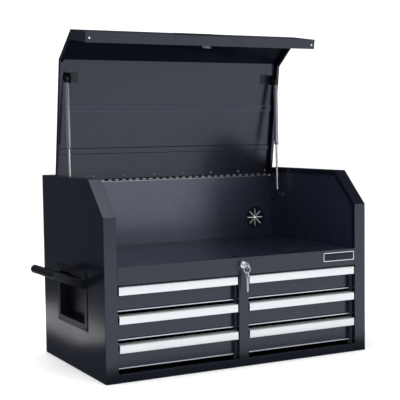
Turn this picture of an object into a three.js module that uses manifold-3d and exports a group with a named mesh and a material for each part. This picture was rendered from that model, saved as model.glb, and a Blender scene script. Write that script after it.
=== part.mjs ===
// Top tool chest with a hinged hood lid, six drawers in two columns and fold-out side handles.
// Millimetres. +Z is up, the front faces -Y, and the origin is the middle of the base on the floor.
import * as THREE from "three";
import { mergeVertices } from "three/addons/utils/BufferGeometryUtils.js";
import Module from "manifold-3d";

const wasm = await Module();
wasm.setup();

// ---- Driving dimensions ----
const WIDTH = 914;
const DEPTH = 516;
const HEIGHT = 585;
const SHEET = 1.2; // folded steel of the case and the lid
const GAP = 0.3; // between pieces that touch or are fastened together

const SIDE_THICKNESS = 40; // double side wall, outer sheet to inner liner
const SIDE_LIP = 17; // return fold along the inner edge of the side flange
const SLOPE_RUN = 109; // sloping front corner of the sides
const SLOPE_DROP = 106;

const ROWS = 3;
const ROW_PITCH = 84.25;
const BASE_RAIL = 24.5;
const BASE_CLEARANCE = 5.75; // what the rows leave between the base rail and the fascia
const FASCIA_HEIGHT = 53;
const FRAME_FLANGE = 18; // folds of the fascia and the base rail
const DECK_SETBACK = 21; // front edge of the deck behind the front face
const DECK_FLANGE = 20;
const STILE_WIDTH = 32.5; // upright between the two columns
const PARTITION_WIDTH = 23;
const PARTITION_RISE = 12; // above the underside of the fascia
const REAR_UPSTAND = 20;

const DRAWER_RECESS = 27; // drawer front behind the front face
const DRAWER_SHEET = 1;
const DRAWER_FRONT = 74.2;
const DRAWER_WALL = 60;
const DRAWER_REAR_SPACE = 49;
const DRAWER_TRAVEL_STOP = 4; // runner behind the drawer front

const PULL_HEIGHT = 24.5;
const PULL_GAP = 5; // between the top pull and the fascia
const PULL_END_GAP = 4.4; // between the pull's end and the frame
const PULL_WALL = 2.2;
const PULL_PROUD = 1; // pull face in front of the frame
const PULL_LIP = 9;
const PULL_HOOK = 16;
const PULL_BEVEL = 2.5;

const SLIDE_SPACE = 12.7; // between a drawer side and what its slide is fixed to
const SLIDE_SHEET = 1.2;
const SLIDE_OUTER_HEIGHT = 45;
const SLIDE_INNER_HEIGHT = 36;
const SLIDE_LIP = 7.4;
const SLIDE_RISE = 32; // middle of the slide above the drawer floor
const SLIDE_FRONT = 22; // front end of the fixed channel behind the front face
const POST_WIDTH = 25;
const POST_SHEET = 1.5;
const FRONT_POST = 35; // middle of the front post behind the front face
const REAR_POST = 65; // middle of the rear post in front of the rear face

const HINGE_BELOW_TOP = 25; // hinge pin below the top of the sides
const HINGE_FROM_REAR = 6;
const KNUCKLE_PITCH = 12.7;
const KNUCKLE_RADIUS = 4;
const PIN_RADIUS = 1.8;
const PIN_CLEARANCE = 0.3;
const LEAF_SHEET = 1.2;
const CABINET_LEAF = 20;
const LID_LEAF = 22;

const LID_OPEN_DEG = 81.5;
const LID_SIDE_GAP = 4; // lid side to the side lip
const LID_ABOVE_PIN = 6; // top of the lid above the pin, closed
const LID_REAR_EDGE = 3; // rear edge of the lid in front of the rear face
const LID_INSET = 8; // lid front behind the front face, closed
const LID_DECK_GAP = 2;
const LID_LIP = 32;
const LID_RIM = 18; // depth of the lid's side walls
const LID_RIM_FLANGE = 8;
const RIB_WIDTH = 20;
const RIB_RISE = 2.5;
const RIB_PLACES = [100, 242]; // middle of each stiffening rib from the pin
const RIB_END_GAP = 15;
const CUP_WIDTH = 130; // lift recess in the lid's front
const CUP_DEPTH = 22;
const CUP_LOW_SHARE = 0.108; // of the height of the lid's upright front
const CUP_HIGH_SHARE = 0.755;
const CUP_FLANGE = 6;

const HOOK_WIDTH = 26;
const HOOK_BEYOND_LIP = 6;
const HOOK_DEPTH = 22; // below the lid's front lip
const HOOK_WEB = 7;
const HOOK_BAR = 4;
const HOOK_MOUTH = 10;
const SLOT_SIDE_GAP = 5;
const SLOT_FRONT_GAP = 15;
const SLOT_REAR_GAP = 5;

const LOCK_RISE = 30; // lock axis above the underside of the fascia
const LOCK_BEZEL = 11;
const LOCK_BARREL = 9.3;
const LOCK_PLUG = 6;
const LOCK_LENGTH = 34;
const CAM_REACH = 12.5;
const CAM_PIN = 2.5;
const KEY_THICKNESS = 2.4;
const KEY_BOW = 11;
const KEY_HOLE = 3.5;
const KEY_OUT = 22; // middle of the key's bow in front of the fascia
const KEY_SHANK = 9;
const RING_RADIUS = 11.2;
const RING_WIRE = 0.8;
const SPARE_BOW = 10;
const SPARE_BLADE = 8;
const SPARE_LENGTH = 58;

const STRUT_INSET = 64; // strut from the outside of the case
const STRUT_FROM_CORNER = 58; // upper pivot behind the lid's bend
const STRUT_BELOW_PIN = 22; // upper pivot below the pin, lid closed
const STUD_FROM_PIN_Y = 81;
const STUD_FROM_PIN_Z = 68.5;
const STRUT_TUBE = 7.5;
const STRUT_ROD = 4;
const STRUT_ROD_GAP = 0.5;
const STRUT_EYE = 7;
const STRUT_EYE_WIDTH = 10;
const STRUT_EYE_BORE = 3.3;
const STRUT_TUBE_START = 14;
const STRUT_END_SPACE = 39; // tube end to the lower pivot, lid closed
const STRUT_ROD_OVERLAP = 22; // rod left in the tube, lid open
const STUD_SHAFT = 3;
const STUD_BALL = 4.5;
const BRACKET_WIDTH = 38;
const BRACKET_LENGTH = 32;

const HANDLE_PLACE = 3; // middle of the handle behind the middle of the case
const HANDLE_PIVOT_Z = 266;
const HANDLE_PIVOT_IN = 7; // pivot inside the side sheet
const HANDLE_UP_DEG = 20.5; // arms above level when the handle is out
const HANDLE_ARM = 97;
const ARM_WIDTH = 26;
const ARM_SHEET = 4;
const GRIP_RADIUS = 12.5;
const RECESS_LENGTH = 210;
const RECESS_TOP = 290;
const RECESS_BOTTOM = 150;
const RECESS_DEPTH = 28;
const RECESS_SHEET = 1.5;
const RECESS_FLANGE = 20;
const RECESS_ARM_GAP = 2.5;
const PIVOT_RADIUS = 4;

const GROMMET_FROM_SIDE = 108;
const GROMMET_RADIUS = 38;
const GROMMET_LOW_SHARE = 0.2421875; // of the spare height round the grommet, how much is below it
const GROMMET_HOLE = 33; // hole in the back panel
const GROMMET_PASS = 7; // cable opening in the middle
const GROMMET_FLANGE = 2.5;

// ---- Places worked out from the dimensions ----
const HALF = WIDTH / 2;
const FRONT = -DEPTH / 2;
const REAR = DEPTH / 2;
const SIDE_INNER = HALF - SIDE_THICKNESS;
const FASCIA_BOTTOM = BASE_RAIL + ROWS * ROW_PITCH + BASE_CLEARANCE;
const DECK_TOP = FASCIA_BOTTOM + FASCIA_HEIGHT;
const DECK_FRONT = FRONT + DECK_SETBACK;
const BACK_OUTER = REAR - SHEET - GAP;
const BACK_INNER = BACK_OUTER - SHEET;
const INSIDE_REAR = BACK_INNER - GAP;
const HINGE = { y: REAR - HINGE_FROM_REAR, z: HEIGHT - HINGE_BELOW_TOP };
const LINER_OUTER = SIDE_INNER + 2 * SHEET + GAP;
const GROMMET_SPARE = HINGE.z - CABINET_LEAF - DECK_TOP - 2 * GROMMET_RADIUS;
const GROMMET = {
  x: HALF - GROMMET_FROM_SIDE,
  z: DECK_TOP + GROMMET_RADIUS + GROMMET_LOW_SHARE * GROMMET_SPARE,
};
const LOCK_Z = FASCIA_BOTTOM + LOCK_RISE;
const KEY_Y = FRONT - KEY_OUT;

// ---- Materials ----
const finish = (color, roughness, metalness) =>
  new THREE.MeshStandardMaterial({ color, roughness, metalness });
const PAINT = finish(0x14171f, 0.35, 0.1);
const DARK_PAINT = finish(0x1a1d26, 0.4, 0.1);
const ALUMINIUM = finish(0xd9dbdd, 0.35, 0.9);
const ZINC = finish(0xa9adb3, 0.4, 0.8);
const CHROME = finish(0xc8ccd2, 0.15, 1);
const RUBBER = finish(0x101113, 0.8, 0);
const PLASTIC = finish(0x17181b, 0.55, 0);
const BLACK_STEEL = finish(0x202329, 0.45, 0.6);

// ---- Solids ----
function solid(geometry) {
  const bare = geometry.index ? geometry.toNonIndexed() : geometry.clone();
  bare.deleteAttribute("normal");
  bare.deleteAttribute("uv");
  const merged = mergeVertices(bare, 1e-4);
  return new wasm.Manifold(
    new wasm.Mesh({
      numProp: 3,
      vertProperties: new Float32Array(merged.attributes.position.array),
      triVerts: new Uint32Array(merged.index.array),
    }),
  );
}

function join(...solids) {
  return solids.reduce((whole, piece) => whole.add(piece));
}

function cut(whole, ...tools) {
  return tools.reduce((rest, tool) => rest.subtract(tool), whole);
}

function mesh(name, shape, material, parent) {
  const { vertProperties, triVerts, numProp } = shape.getMesh();
  const count = vertProperties.length / numProp;
  const position = new Float32Array(count * 3);
  for (let i = 0; i < count; i++) {
    position.set(vertProperties.subarray(i * numProp, i * numProp + 3), i * 3);
  }
  const geometry = new THREE.BufferGeometry();
  geometry.setAttribute("position", new THREE.BufferAttribute(position, 3));
  geometry.setIndex(new THREE.BufferAttribute(new Uint32Array(triVerts), 1));
  geometry.computeVertexNormals();
  const made = new THREE.Mesh(geometry, material);
  made.name = name;
  parent.add(made);
  return made;
}

// A box between two values on each axis, given in either order.
function box([x0, x1], [y0, y1], [z0, z1]) {
  const geometry = new THREE.BoxGeometry(Math.abs(x1 - x0), Math.abs(y1 - y0), Math.abs(z1 - z0));
  geometry.translate((x0 + x1) / 2, (y0 + y1) / 2, (z0 + z1) / 2);
  return solid(geometry);
}

// An outline of points [y, z] carried along X.
function prismX(points, [x0, x1]) {
  const shape = new THREE.Shape(points.map(([y, z]) => new THREE.Vector2(y, z)));
  const geometry = new THREE.ExtrudeGeometry(shape, { depth: Math.abs(x1 - x0), bevelEnabled: false });
  const turn = new THREE.Matrix4().makeBasis(
    new THREE.Vector3(0, 1, 0),
    new THREE.Vector3(0, 0, 1),
    new THREE.Vector3(1, 0, 0),
  );
  geometry.applyMatrix4(turn);
  geometry.translate(Math.min(x0, x1), 0, 0);
  return solid(geometry);
}

// An outline of points [x, z] carried along Y.
function prismY(points, [y0, y1]) {
  const shape = new THREE.Shape(points.map(([x, z]) => new THREE.Vector2(x, z)));
  const geometry = new THREE.ExtrudeGeometry(shape, { depth: Math.abs(y1 - y0), bevelEnabled: false });
  const turn = new THREE.Matrix4().makeBasis(
    new THREE.Vector3(1, 0, 0),
    new THREE.Vector3(0, 0, 1),
    new THREE.Vector3(0, -1, 0),
  );
  geometry.applyMatrix4(turn);
  geometry.translate(0, Math.max(y0, y1), 0);
  return solid(geometry);
}

function rodX(radius, [x0, x1], y, z, sides = 20) {
  const geometry = new THREE.CylinderGeometry(radius, radius, Math.abs(x1 - x0), sides);
  geometry.rotateZ(Math.PI / 2);
  geometry.translate((x0 + x1) / 2, y, z);
  return solid(geometry);
}

function rodY(radius, [y0, y1], x, z, sides = 24) {
  const geometry = new THREE.CylinderGeometry(radius, radius, Math.abs(y1 - y0), sides);
  geometry.translate(x, (y0 + y1) / 2, z);
  return solid(geometry);
}

function rodZ(radius, [z0, z1], x, y, sides = 20) {
  const geometry = new THREE.CylinderGeometry(radius, radius, Math.abs(z1 - z0), sides);
  geometry.rotateX(Math.PI / 2);
  geometry.translate(x, y, (z0 + z1) / 2);
  return solid(geometry);
}

// Two bends of a line that runs level, slopes down and ends on an upright, moved inwards.
// bend: the level end, foot: the upright end, both [y, z] on the outer line.
function slopeBends(bend, foot, inset) {
  const run = bend[0] - foot[0];
  const drop = bend[1] - foot[1];
  const length = Math.hypot(run, drop);
  const start = [foot[0] + (inset * drop) / length, foot[1] - (inset * run) / length];
  const atFoot = (foot[0] + inset - start[0]) / run;
  const atBend = (bend[1] - inset - start[1]) / drop;
  return {
    foot: [foot[0] + inset, start[1] + atFoot * drop],
    bend: [start[0] + atBend * run, bend[1] - inset],
  };
}

// ---- Case ----
const SIDE_BEND = [FRONT + SLOPE_RUN, HEIGHT];
const SIDE_FOOT = [FRONT, HEIGHT - SLOPE_DROP];

// The side seen from the side, its front, slope and top edges moved in by inset.
function sideOutline(inset, floor, rear) {
  const { foot, bend } = slopeBends(SIDE_BEND, SIDE_FOOT, inset);
  return [[FRONT + inset, floor], foot, bend, [rear, HEIGHT - inset], [rear, floor]];
}

function recessSpan(margin) {
  return {
    y: [HANDLE_PLACE - RECESS_LENGTH / 2 - margin, HANDLE_PLACE + RECESS_LENGTH / 2 + margin],
    z: [RECESS_BOTTOM - margin, RECESS_TOP + margin],
  };
}

function sidePanel(name, side, parent) {
  const tray = prismX(sideOutline(0, 0, REAR), [side * SIDE_INNER, side * HALF]);
  const hollow = prismX(sideOutline(SHEET, SHEET, REAR - SHEET), [
    side * (SIDE_INNER - 1),
    side * (HALF - SHEET),
  ]);
  const outer = slopeBends(SIDE_BEND, SIDE_FOOT, 0);
  const inner = slopeBends(SIDE_BEND, SIDE_FOOT, SIDE_LIP);
  const lip = prismX(
    [
      [FRONT, 0],
      outer.foot,
      outer.bend,
      [REAR, HEIGHT],
      [REAR, HEIGHT - SIDE_LIP],
      inner.bend,
      inner.foot,
      [FRONT + SIDE_LIP, 0],
    ],
    [side * SIDE_INNER, side * (SIDE_INNER + SHEET)],
  );
  const { y, z } = recessSpan(GAP + RECESS_SHEET);
  const window = box([side * (HALF - 2 * SHEET), side * (HALF + SHEET)], y, z);
  mesh(name, cut(join(cut(tray, hollow), lip), window), PAINT, parent);
}

function sideLiner(name, side, parent) {
  const outline = sideOutline(SHEET + GAP, DECK_TOP + GAP, INSIDE_REAR);
  const x = [side * (LINER_OUTER - SHEET), side * LINER_OUTER];
  mesh(name, prismX(outline, x), PAINT, parent);
}

function backPanel(parent) {
  const sheet = box(
    [-(HALF - SHEET - GAP), HALF - SHEET - GAP],
    [BACK_INNER, BACK_OUTER],
    [SHEET + GAP, HINGE.z - KNUCKLE_RADIUS + GAP],
  );
  const hole = rodY(GROMMET_HOLE, [BACK_INNER - 1, BACK_OUTER + 1], GROMMET.x, GROMMET.z, 32);
  mesh("back_panel", cut(sheet, hole), PAINT, parent);
}

function basePan(parent) {
  const x = [-(SIDE_INNER - GAP), SIDE_INNER - GAP];
  const floor = box(x, [FRONT, REAR], [0, SHEET]);
  const rail = box(x, [FRONT, FRONT + SHEET], [0, BASE_RAIL]);
  const fold = box(x, [FRONT, FRONT + FRAME_FLANGE], [BASE_RAIL - SHEET, BASE_RAIL]);
  const upstand = box(x, [REAR - SHEET, REAR], [0, REAR_UPSTAND]);
  mesh("base_pan", join(floor, rail, fold, upstand), PAINT, parent);
}

function deckPanel(parent) {
  const half = HALF - SHEET - GAP;
  const plate = box([-half, half], [DECK_FRONT, INSIDE_REAR], [DECK_TOP - SHEET, DECK_TOP]);
  const fold = box([-half, half], [DECK_FRONT, DECK_FRONT + SHEET], [DECK_TOP - DECK_FLANGE, DECK_TOP]);
  const lockNotch = box(
    [-(LOCK_BARREL + 5), LOCK_BARREL + 5],
    [DECK_FRONT - 1, DECK_FRONT + SHEET + 1],
    [DECK_TOP - DECK_FLANGE - 1, LOCK_Z + LOCK_BARREL + 1],
  );
  const hookSlot = box(
    [-(HOOK_WIDTH / 2 + SLOT_SIDE_GAP), HOOK_WIDTH / 2 + SLOT_SIDE_GAP],
    [HOOK_Y - SLOT_FRONT_GAP, HOOK_Y + SLOT_REAR_GAP],
    [DECK_TOP - SHEET - 1, DECK_TOP + 1],
  );
  mesh("deck_panel", cut(join(plate, fold), lockNotch, hookSlot), PAINT, parent);
}

function fasciaRail(parent) {
  const x = [-(SIDE_INNER - GAP), SIDE_INNER - GAP];
  const face = box(x, [FRONT, FRONT + SHEET], [FASCIA_BOTTOM, DECK_TOP]);
  const topFold = box(x, [FRONT, FRONT + FRAME_FLANGE], [DECK_TOP - SHEET, DECK_TOP]);
  const lowFold = box(x, [FRONT, FRONT + FRAME_FLANGE], [FASCIA_BOTTOM, FASCIA_BOTTOM + SHEET]);
  const lockHole = rodY(LOCK_BARREL + GAP, [FRONT - 1, FRONT + SHEET + 1], 0, LOCK_Z);
  mesh("fascia_rail", cut(join(face, topFold, lowFold), lockHole), PAINT, parent);
}

function centrePartition(parent) {
  const half = STILE_WIDTH / 2;
  const z = [BASE_RAIL + GAP, FASCIA_BOTTOM - GAP];
  const inside = FRONT + FRAME_FLANGE + GAP;
  const pieces = [box([-half, half], [FRONT, FRONT + SHEET], z)];
  for (const side of [-1, 1]) {
    const web = [side * (PARTITION_WIDTH / 2 - SHEET), (side * PARTITION_WIDTH) / 2];
    pieces.push(box([side * (half - SHEET), side * half], [FRONT, FRONT + SIDE_LIP], z));
    pieces.push(box(web, [FRONT, inside + SHEET], z));
    pieces.push(box(web, [inside, INSIDE_REAR], [SHEET + GAP, FASCIA_BOTTOM + PARTITION_RISE]));
  }
  mesh("centre_partition", join(...pieces), PAINT, parent);
}

function cableGrommet(parent) {
  const front = BACK_INNER - GAP;
  const back = BACK_OUTER + GAP;
  const neck = GROMMET_HOLE - GAP;
  const membrane = (front + back) / 2;
  const profile = [
    [GROMMET_PASS, membrane - 1],
    [neck - 4, membrane - 1],
    [neck - 4, front - GROMMET_FLANGE],
    [GROMMET_RADIUS - 1, front - GROMMET_FLANGE],
    [GROMMET_RADIUS, front - GROMMET_FLANGE + 1],
    [GROMMET_RADIUS, front],
    [neck, front],
    [neck, back],
    [GROMMET_HOLE + 3, back],
    [GROMMET_HOLE + 3, back + GROMMET_FLANGE / 2],
    [neck - 4, back + GROMMET_FLANGE / 2],
    [neck - 4, membrane + 1],
    [GROMMET_PASS, membrane + 1],
    [GROMMET_PASS, membrane - 1],
  ];
  const geometry = new THREE.LatheGeometry(profile.map(([r, y]) => new THREE.Vector2(r, y)), 24);
  geometry.translate(GROMMET.x, 0, GROMMET.z);
  mesh("cable_grommet", solid(geometry), RUBBER, parent);
}

// ---- Slides ----
const COLUMN_MIDDLE = (SIDE_INNER + STILE_WIDTH / 2) / 2;
const PULL_LENGTH = SIDE_INNER - STILE_WIDTH / 2 - 2 * PULL_END_GAP;
const MOUNT_INNER = PARTITION_WIDTH / 2 + GAP + POST_SHEET;
const DRAWER_HALF = COLUMN_MIDDLE - MOUNT_INNER - SLIDE_SPACE;
const MOUNT_OUTER = COLUMN_MIDDLE + DRAWER_HALF + SLIDE_SPACE;
const DRAWER_FRONT_Y = FRONT + DRAWER_RECESS;
const DRAWER_REAR_Y = REAR - DRAWER_REAR_SPACE;

function pullTop(row) {
  return FASCIA_BOTTOM - PULL_GAP - row * ROW_PITCH;
}

function drawerFloor(row) {
  return pullTop(row) - PULL_WALL - GAP - DRAWER_FRONT;
}

// A channel along Y: its web starts at x and its lips reach on from it, both in the sense of way.
function channel(x, way, lip, height, y, middle) {
  const web = box([x, x + way * SLIDE_SHEET], y, [middle - height / 2, middle + height / 2]);
  const reach = [x, x + way * (SLIDE_SHEET + lip)];
  const low = box(reach, y, [middle - height / 2, middle - height / 2 + SLIDE_SHEET]);
  const high = box(reach, y, [middle + height / 2 - SLIDE_SHEET, middle + height / 2]);
  return join(web, low, high);
}

// Two posts and the fixed channel of each row. way points from the rack to its drawers.
function slideRack(name, mount, way, postBack, top, parent) {
  const pieces = [];
  for (const middle of [FRONT + FRONT_POST, REAR - REAR_POST]) {
    const y = [middle - POST_WIDTH / 2, middle + POST_WIDTH / 2];
    const z = [SHEET + GAP, top];
    pieces.push(box([mount, mount - way * POST_SHEET], y, z));
    if (postBack) {
      for (const edge of y) {
        const leg = [edge, edge + Math.sign(middle - edge) * POST_SHEET];
        pieces.push(box([mount, postBack], leg, z));
      }
    }
  }
  const y = [FRONT + SLIDE_FRONT, DRAWER_REAR_Y];
  for (let row = 0; row < ROWS; row++) {
    const middle = drawerFloor(row) + SLIDE_RISE;
    pieces.push(channel(mount - way * 0.1, way, SLIDE_LIP + 0.1, SLIDE_OUTER_HEIGHT, y, middle));
  }
  mesh(name, join(...pieces), ZINC, parent);
}

function slideRacks(parent) {
  const caseWall = HALF - SHEET - GAP;
  const high = DECK_TOP - SHEET - GAP;
  const low = FASCIA_BOTTOM + PARTITION_RISE;
  for (const [word, side] of [["left", -1], ["right", 1]]) {
    slideRack(word + "_outer_slide_rack", side * MOUNT_OUTER, -side, side * caseWall, high, parent);
    slideRack(word + "_inner_slide_rack", side * MOUNT_INNER, side, 0, low, parent);
  }
}

// ---- Drawers ----
function drawerBox(name, middle, row, parent) {
  const floor = drawerFloor(row);
  const x = [middle - DRAWER_HALF, middle + DRAWER_HALF];
  const inX = [x[0] + DRAWER_SHEET, x[1] - DRAWER_SHEET];
  const frontTop = floor + DRAWER_FRONT;
  const wallTop = floor + DRAWER_WALL;
  const block = box(x, [DRAWER_FRONT_Y, DRAWER_REAR_Y], [floor, frontTop]);
  const hollow = box(
    inX,
    [DRAWER_FRONT_Y + DRAWER_SHEET, DRAWER_REAR_Y - DRAWER_SHEET],
    [floor + DRAWER_SHEET, frontTop + 1],
  );
  const above = box(
    [x[0] - 1, x[1] + 1],
    [DRAWER_FRONT_Y + DRAWER_SHEET, DRAWER_REAR_Y + 1],
    [wallTop, frontTop + 1],
  );
  mesh(name, cut(block, hollow, above), DARK_PAINT, parent);
}

function drawerPull(name, middle, row, parent) {
  const top = pullTop(row);
  const under = top - PULL_WALL;
  const face = FRONT - PULL_PROUD;
  const hook = DRAWER_FRONT_Y + DRAWER_SHEET + GAP;
  const outline = [
    [face, top - PULL_HEIGHT],
    [face + PULL_LIP, top - PULL_HEIGHT],
    [face + PULL_LIP, top - PULL_HEIGHT + PULL_WALL],
    [face + PULL_WALL, top - PULL_HEIGHT + PULL_WALL],
    [face + PULL_WALL, under],
    [hook, under],
    [hook, top - PULL_HOOK],
    [hook + PULL_WALL, top - PULL_HOOK],
    [hook + PULL_WALL, top],
    [face + PULL_BEVEL, top],
    [face, top - PULL_BEVEL],
  ];
  mesh(name, prismX(outline, [middle - PULL_LENGTH / 2, middle + PULL_LENGTH / 2]), ALUMINIUM, parent);
}

function drawerRunner(name, middle, side, row, parent) {
  const x = middle + side * (DRAWER_HALF + GAP);
  const y = [DRAWER_FRONT_Y + DRAWER_TRAVEL_STOP, DRAWER_REAR_Y - DRAWER_TRAVEL_STOP];
  const centre = drawerFloor(row) + SLIDE_RISE;
  mesh(name, channel(x, side, SLIDE_LIP, SLIDE_INNER_HEIGHT, y, centre), ZINC, parent);
}

function drawers(parent) {
  const rowWords = ["top", "middle", "bottom"];
  for (const [word, side] of [["left", -1], ["right", 1]]) {
    const middle = side * COLUMN_MIDDLE;
    for (let row = 0; row < ROWS; row++) {
      const drawer = new THREE.Group();
      const name = word + "_" + rowWords[row];
      drawerBox(name + "_drawer_box", middle, row, drawer);
      drawerPull(name + "_drawer_pull", middle, row, drawer);
      drawerRunner(name + "_drawer_left_runner", middle, -1, row, drawer);
      drawerRunner(name + "_drawer_right_runner", middle, 1, row, drawer);
      parent.add(drawer);
    }
  }
}

// ---- Lid ----
const LID_HALF = SIDE_INNER - LID_SIDE_GAP;
const LID_TOP = HINGE.z + LID_ABOVE_PIN;
const LID_REAR = REAR - LID_REAR_EDGE;
const LID_FRONT = FRONT + LID_INSET;
const LID_BOTTOM = DECK_TOP + LID_DECK_GAP;
const LID_BEND = [FRONT + SLOPE_RUN, LID_TOP];
const LID_FOOT = [LID_FRONT, LID_TOP - ((SLOPE_RUN - LID_INSET) * SLOPE_DROP) / SLOPE_RUN];
const HOOK_Y = LID_FRONT + LID_LIP + HOOK_BEYOND_LIP;
const LID_BAND = LID_FOOT[1] - LID_BOTTOM;
const CUP_Z = [LID_BOTTOM + CUP_LOW_SHARE * LID_BAND, LID_BOTTOM + CUP_HIGH_SHARE * LID_BAND];

// The line of the lid's sheet moved in by inset, from the rear to the front lip.
function lidRim(inset, rear) {
  const { foot, bend } = slopeBends(LID_BEND, LID_FOOT, inset);
  return { rear: [rear, LID_TOP - inset], bend, foot };
}

// Where the rim, moved in by inset, meets the upright line above the end of the front lip.
function rimAtLip(inset) {
  const { bend, foot } = lidRim(inset, LID_REAR);
  const y = LID_FRONT + LID_LIP;
  const slope = (bend[1] - foot[1]) / (bend[0] - foot[0]);
  return [y, foot[1] + (y - foot[0]) * slope];
}

function lidShell(parent) {
  const lipEnd = LID_FRONT + LID_LIP;
  const rim = lidRim(LID_RIM, LID_REAR);
  const wall = [
    [LID_REAR, LID_TOP],
    LID_BEND,
    LID_FOOT,
    [LID_FRONT, LID_BOTTOM],
    [lipEnd, LID_BOTTOM],
    rimAtLip(LID_RIM),
    rim.bend,
    rim.rear,
  ];
  const skin = lidRim(SHEET, LID_REAR + 1);
  const hollow = [
    skin.rear,
    skin.bend,
    skin.foot,
    [LID_FRONT + SHEET, LID_BOTTOM + SHEET],
    [lipEnd + 1, LID_BOTTOM + SHEET],
    [LID_REAR + 1, LID_BOTTOM + SHEET],
  ];
  const inside = LID_HALF - SHEET;
  const pieces = [
    cut(prismX(wall, [-LID_HALF, LID_HALF]), prismX(hollow, [-inside, inside])),
  ];
  const edge = lidRim(LID_RIM - SHEET, HINGE.y - 2 * KNUCKLE_RADIUS);
  const outerEdge = lidRim(LID_RIM, HINGE.y - 2 * KNUCKLE_RADIUS);
  const fold = [
    outerEdge.rear,
    outerEdge.bend,
    rimAtLip(LID_RIM),
    rimAtLip(LID_RIM - SHEET),
    edge.bend,
    edge.rear,
  ];
  for (const side of [-1, 1]) {
    pieces.push(prismX(fold, [side * (LID_HALF - SHEET - LID_RIM_FLANGE), side * LID_HALF]));
  }
  for (const place of RIB_PLACES) {
    const y = [HINGE.y - place - RIB_WIDTH / 2, HINGE.y - place + RIB_WIDTH / 2];
    const x = LID_HALF - RIB_END_GAP;
    pieces.push(box([-x, x], y, [LID_TOP - SHEET - RIB_RISE, LID_TOP - SHEET / 2]));
  }
  const window = box(
    [-(CUP_WIDTH / 2 + GAP), CUP_WIDTH / 2 + GAP],
    [LID_FRONT - 1, LID_FRONT + SHEET + 1],
    [CUP_Z[0] - GAP, CUP_Z[1] + GAP],
  );
  mesh("lid_shell", cut(join(...pieces), window), PAINT, parent);
}

function lidLiftCup(parent) {
  const half = CUP_WIDTH / 2;
  const flange = box(
    [-(half + CUP_FLANGE), half + CUP_FLANGE],
    [LID_FRONT - GAP - RECESS_SHEET, LID_FRONT - GAP],
    [CUP_Z[0] - CUP_FLANGE, CUP_Z[1] + CUP_FLANGE],
  );
  const cup = box([-half, half], [LID_FRONT - GAP - RECESS_SHEET, LID_FRONT + CUP_DEPTH], CUP_Z);
  const hollow = box(
    [-(half - RECESS_SHEET), half - RECESS_SHEET],
    [LID_FRONT - 2 * RECESS_SHEET, LID_FRONT + CUP_DEPTH - RECESS_SHEET],
    [CUP_Z[0] + RECESS_SHEET, CUP_Z[1] - RECESS_SHEET],
  );
  mesh("lid_lift_cup", cut(join(flange, cup), hollow), PLASTIC, parent);
}

function latchHook(parent) {
  const half = HOOK_WIDTH / 2;
  const top = LID_BOTTOM + SHEET + GAP + SHEET;
  const bottom = LID_BOTTOM - HOOK_DEPTH;
  const foot = box([-half, half], [LID_FRONT + SHEET + 10, HOOK_Y], [top - SHEET, top]);
  const hook = prismY(
    [
      [-half, top],
      [-half, bottom],
      [HOOK_WEB - 1, bottom],
      [HOOK_WEB - 1, bottom + HOOK_BAR],
      [-half + HOOK_WEB, bottom + HOOK_BAR],
      [-half + HOOK_WEB, bottom + HOOK_BAR + HOOK_MOUTH],
      [half, bottom + HOOK_BAR + HOOK_MOUTH],
      [half, top],
    ],
    [HOOK_Y - SHEET, HOOK_Y],
  );
  mesh("lid_latch_hook", join(foot, hook), ZINC, parent);
}

// ---- Hinge ----
const KNUCKLES = 2 * Math.floor(LID_HALF / KNUCKLE_PITCH);
const HINGE_HALF = (KNUCKLES * KNUCKLE_PITCH) / 2;

function knuckleSpans(first) {
  const spans = [];
  for (let i = first; i < KNUCKLES; i += 2) {
    const start = i * KNUCKLE_PITCH - HINGE_HALF;
    spans.push([start + GAP, start + KNUCKLE_PITCH - GAP]);
  }
  return spans;
}

function hingeLeaf(name, first, plate, tab, parent) {
  const pieces = [plate([-HINGE_HALF, HINGE_HALF])];
  for (const span of knuckleSpans(first)) {
    pieces.push(rodX(KNUCKLE_RADIUS, span, HINGE.y, HINGE.z, 12));
    pieces.push(tab(span));
  }
  const bore = rodX(PIN_RADIUS + PIN_CLEARANCE, [-HINGE_HALF - 1, HINGE_HALF + 1], HINGE.y, HINGE.z, 12);
  mesh(name, cut(join(...pieces), bore), BLACK_STEEL, parent);
}

function cabinetLeaf(parent) {
  const y = [INSIDE_REAR - LEAF_SHEET, INSIDE_REAR];
  const edge = HINGE.z - KNUCKLE_RADIUS - GAP;
  const plate = (x) => box(x, y, [HINGE.z - CABINET_LEAF, edge]);
  const tab = (x) => box(x, y, [edge - LEAF_SHEET, HINGE.z]);
  hingeLeaf("hinge_cabinet_leaf", 0, plate, tab, parent);
}

function lidLeaf(parent) {
  const high = LID_TOP - SHEET - GAP;
  const z = [high - LEAF_SHEET, high];
  const edge = HINGE.y - KNUCKLE_RADIUS - GAP;
  const plate = (x) => box(x, [HINGE.y - LID_LEAF, edge], z);
  const tab = (x) => box(x, [edge - LEAF_SHEET, HINGE.y], z);
  hingeLeaf("hinge_lid_leaf", 1, plate, tab, parent);
}

function hingePin(parent) {
  mesh("hinge_pin", rodX(PIN_RADIUS, [-HINGE_HALF, HINGE_HALF], HINGE.y, HINGE.z, 12), ZINC, parent);
}

// ---- Gas struts ----
const STRUT_X = HALF - STRUT_INSET;
const STRUT_TOP_CLOSED = [LID_BEND[0] + STRUT_FROM_CORNER, HINGE.z - STRUT_BELOW_PIN];
const STUD = [HINGE.y - STUD_FROM_PIN_Y, HINGE.z - STUD_FROM_PIN_Z];
const LID_OPEN = THREE.MathUtils.degToRad(LID_OPEN_DEG);

function lidOpened([y, z]) {
  const dy = y - HINGE.y;
  const dz = z - HINGE.z;
  return [
    HINGE.y + dy * Math.cos(LID_OPEN) + dz * Math.sin(LID_OPEN),
    HINGE.z - dy * Math.sin(LID_OPEN) + dz * Math.cos(LID_OPEN),
  ];
}

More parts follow.
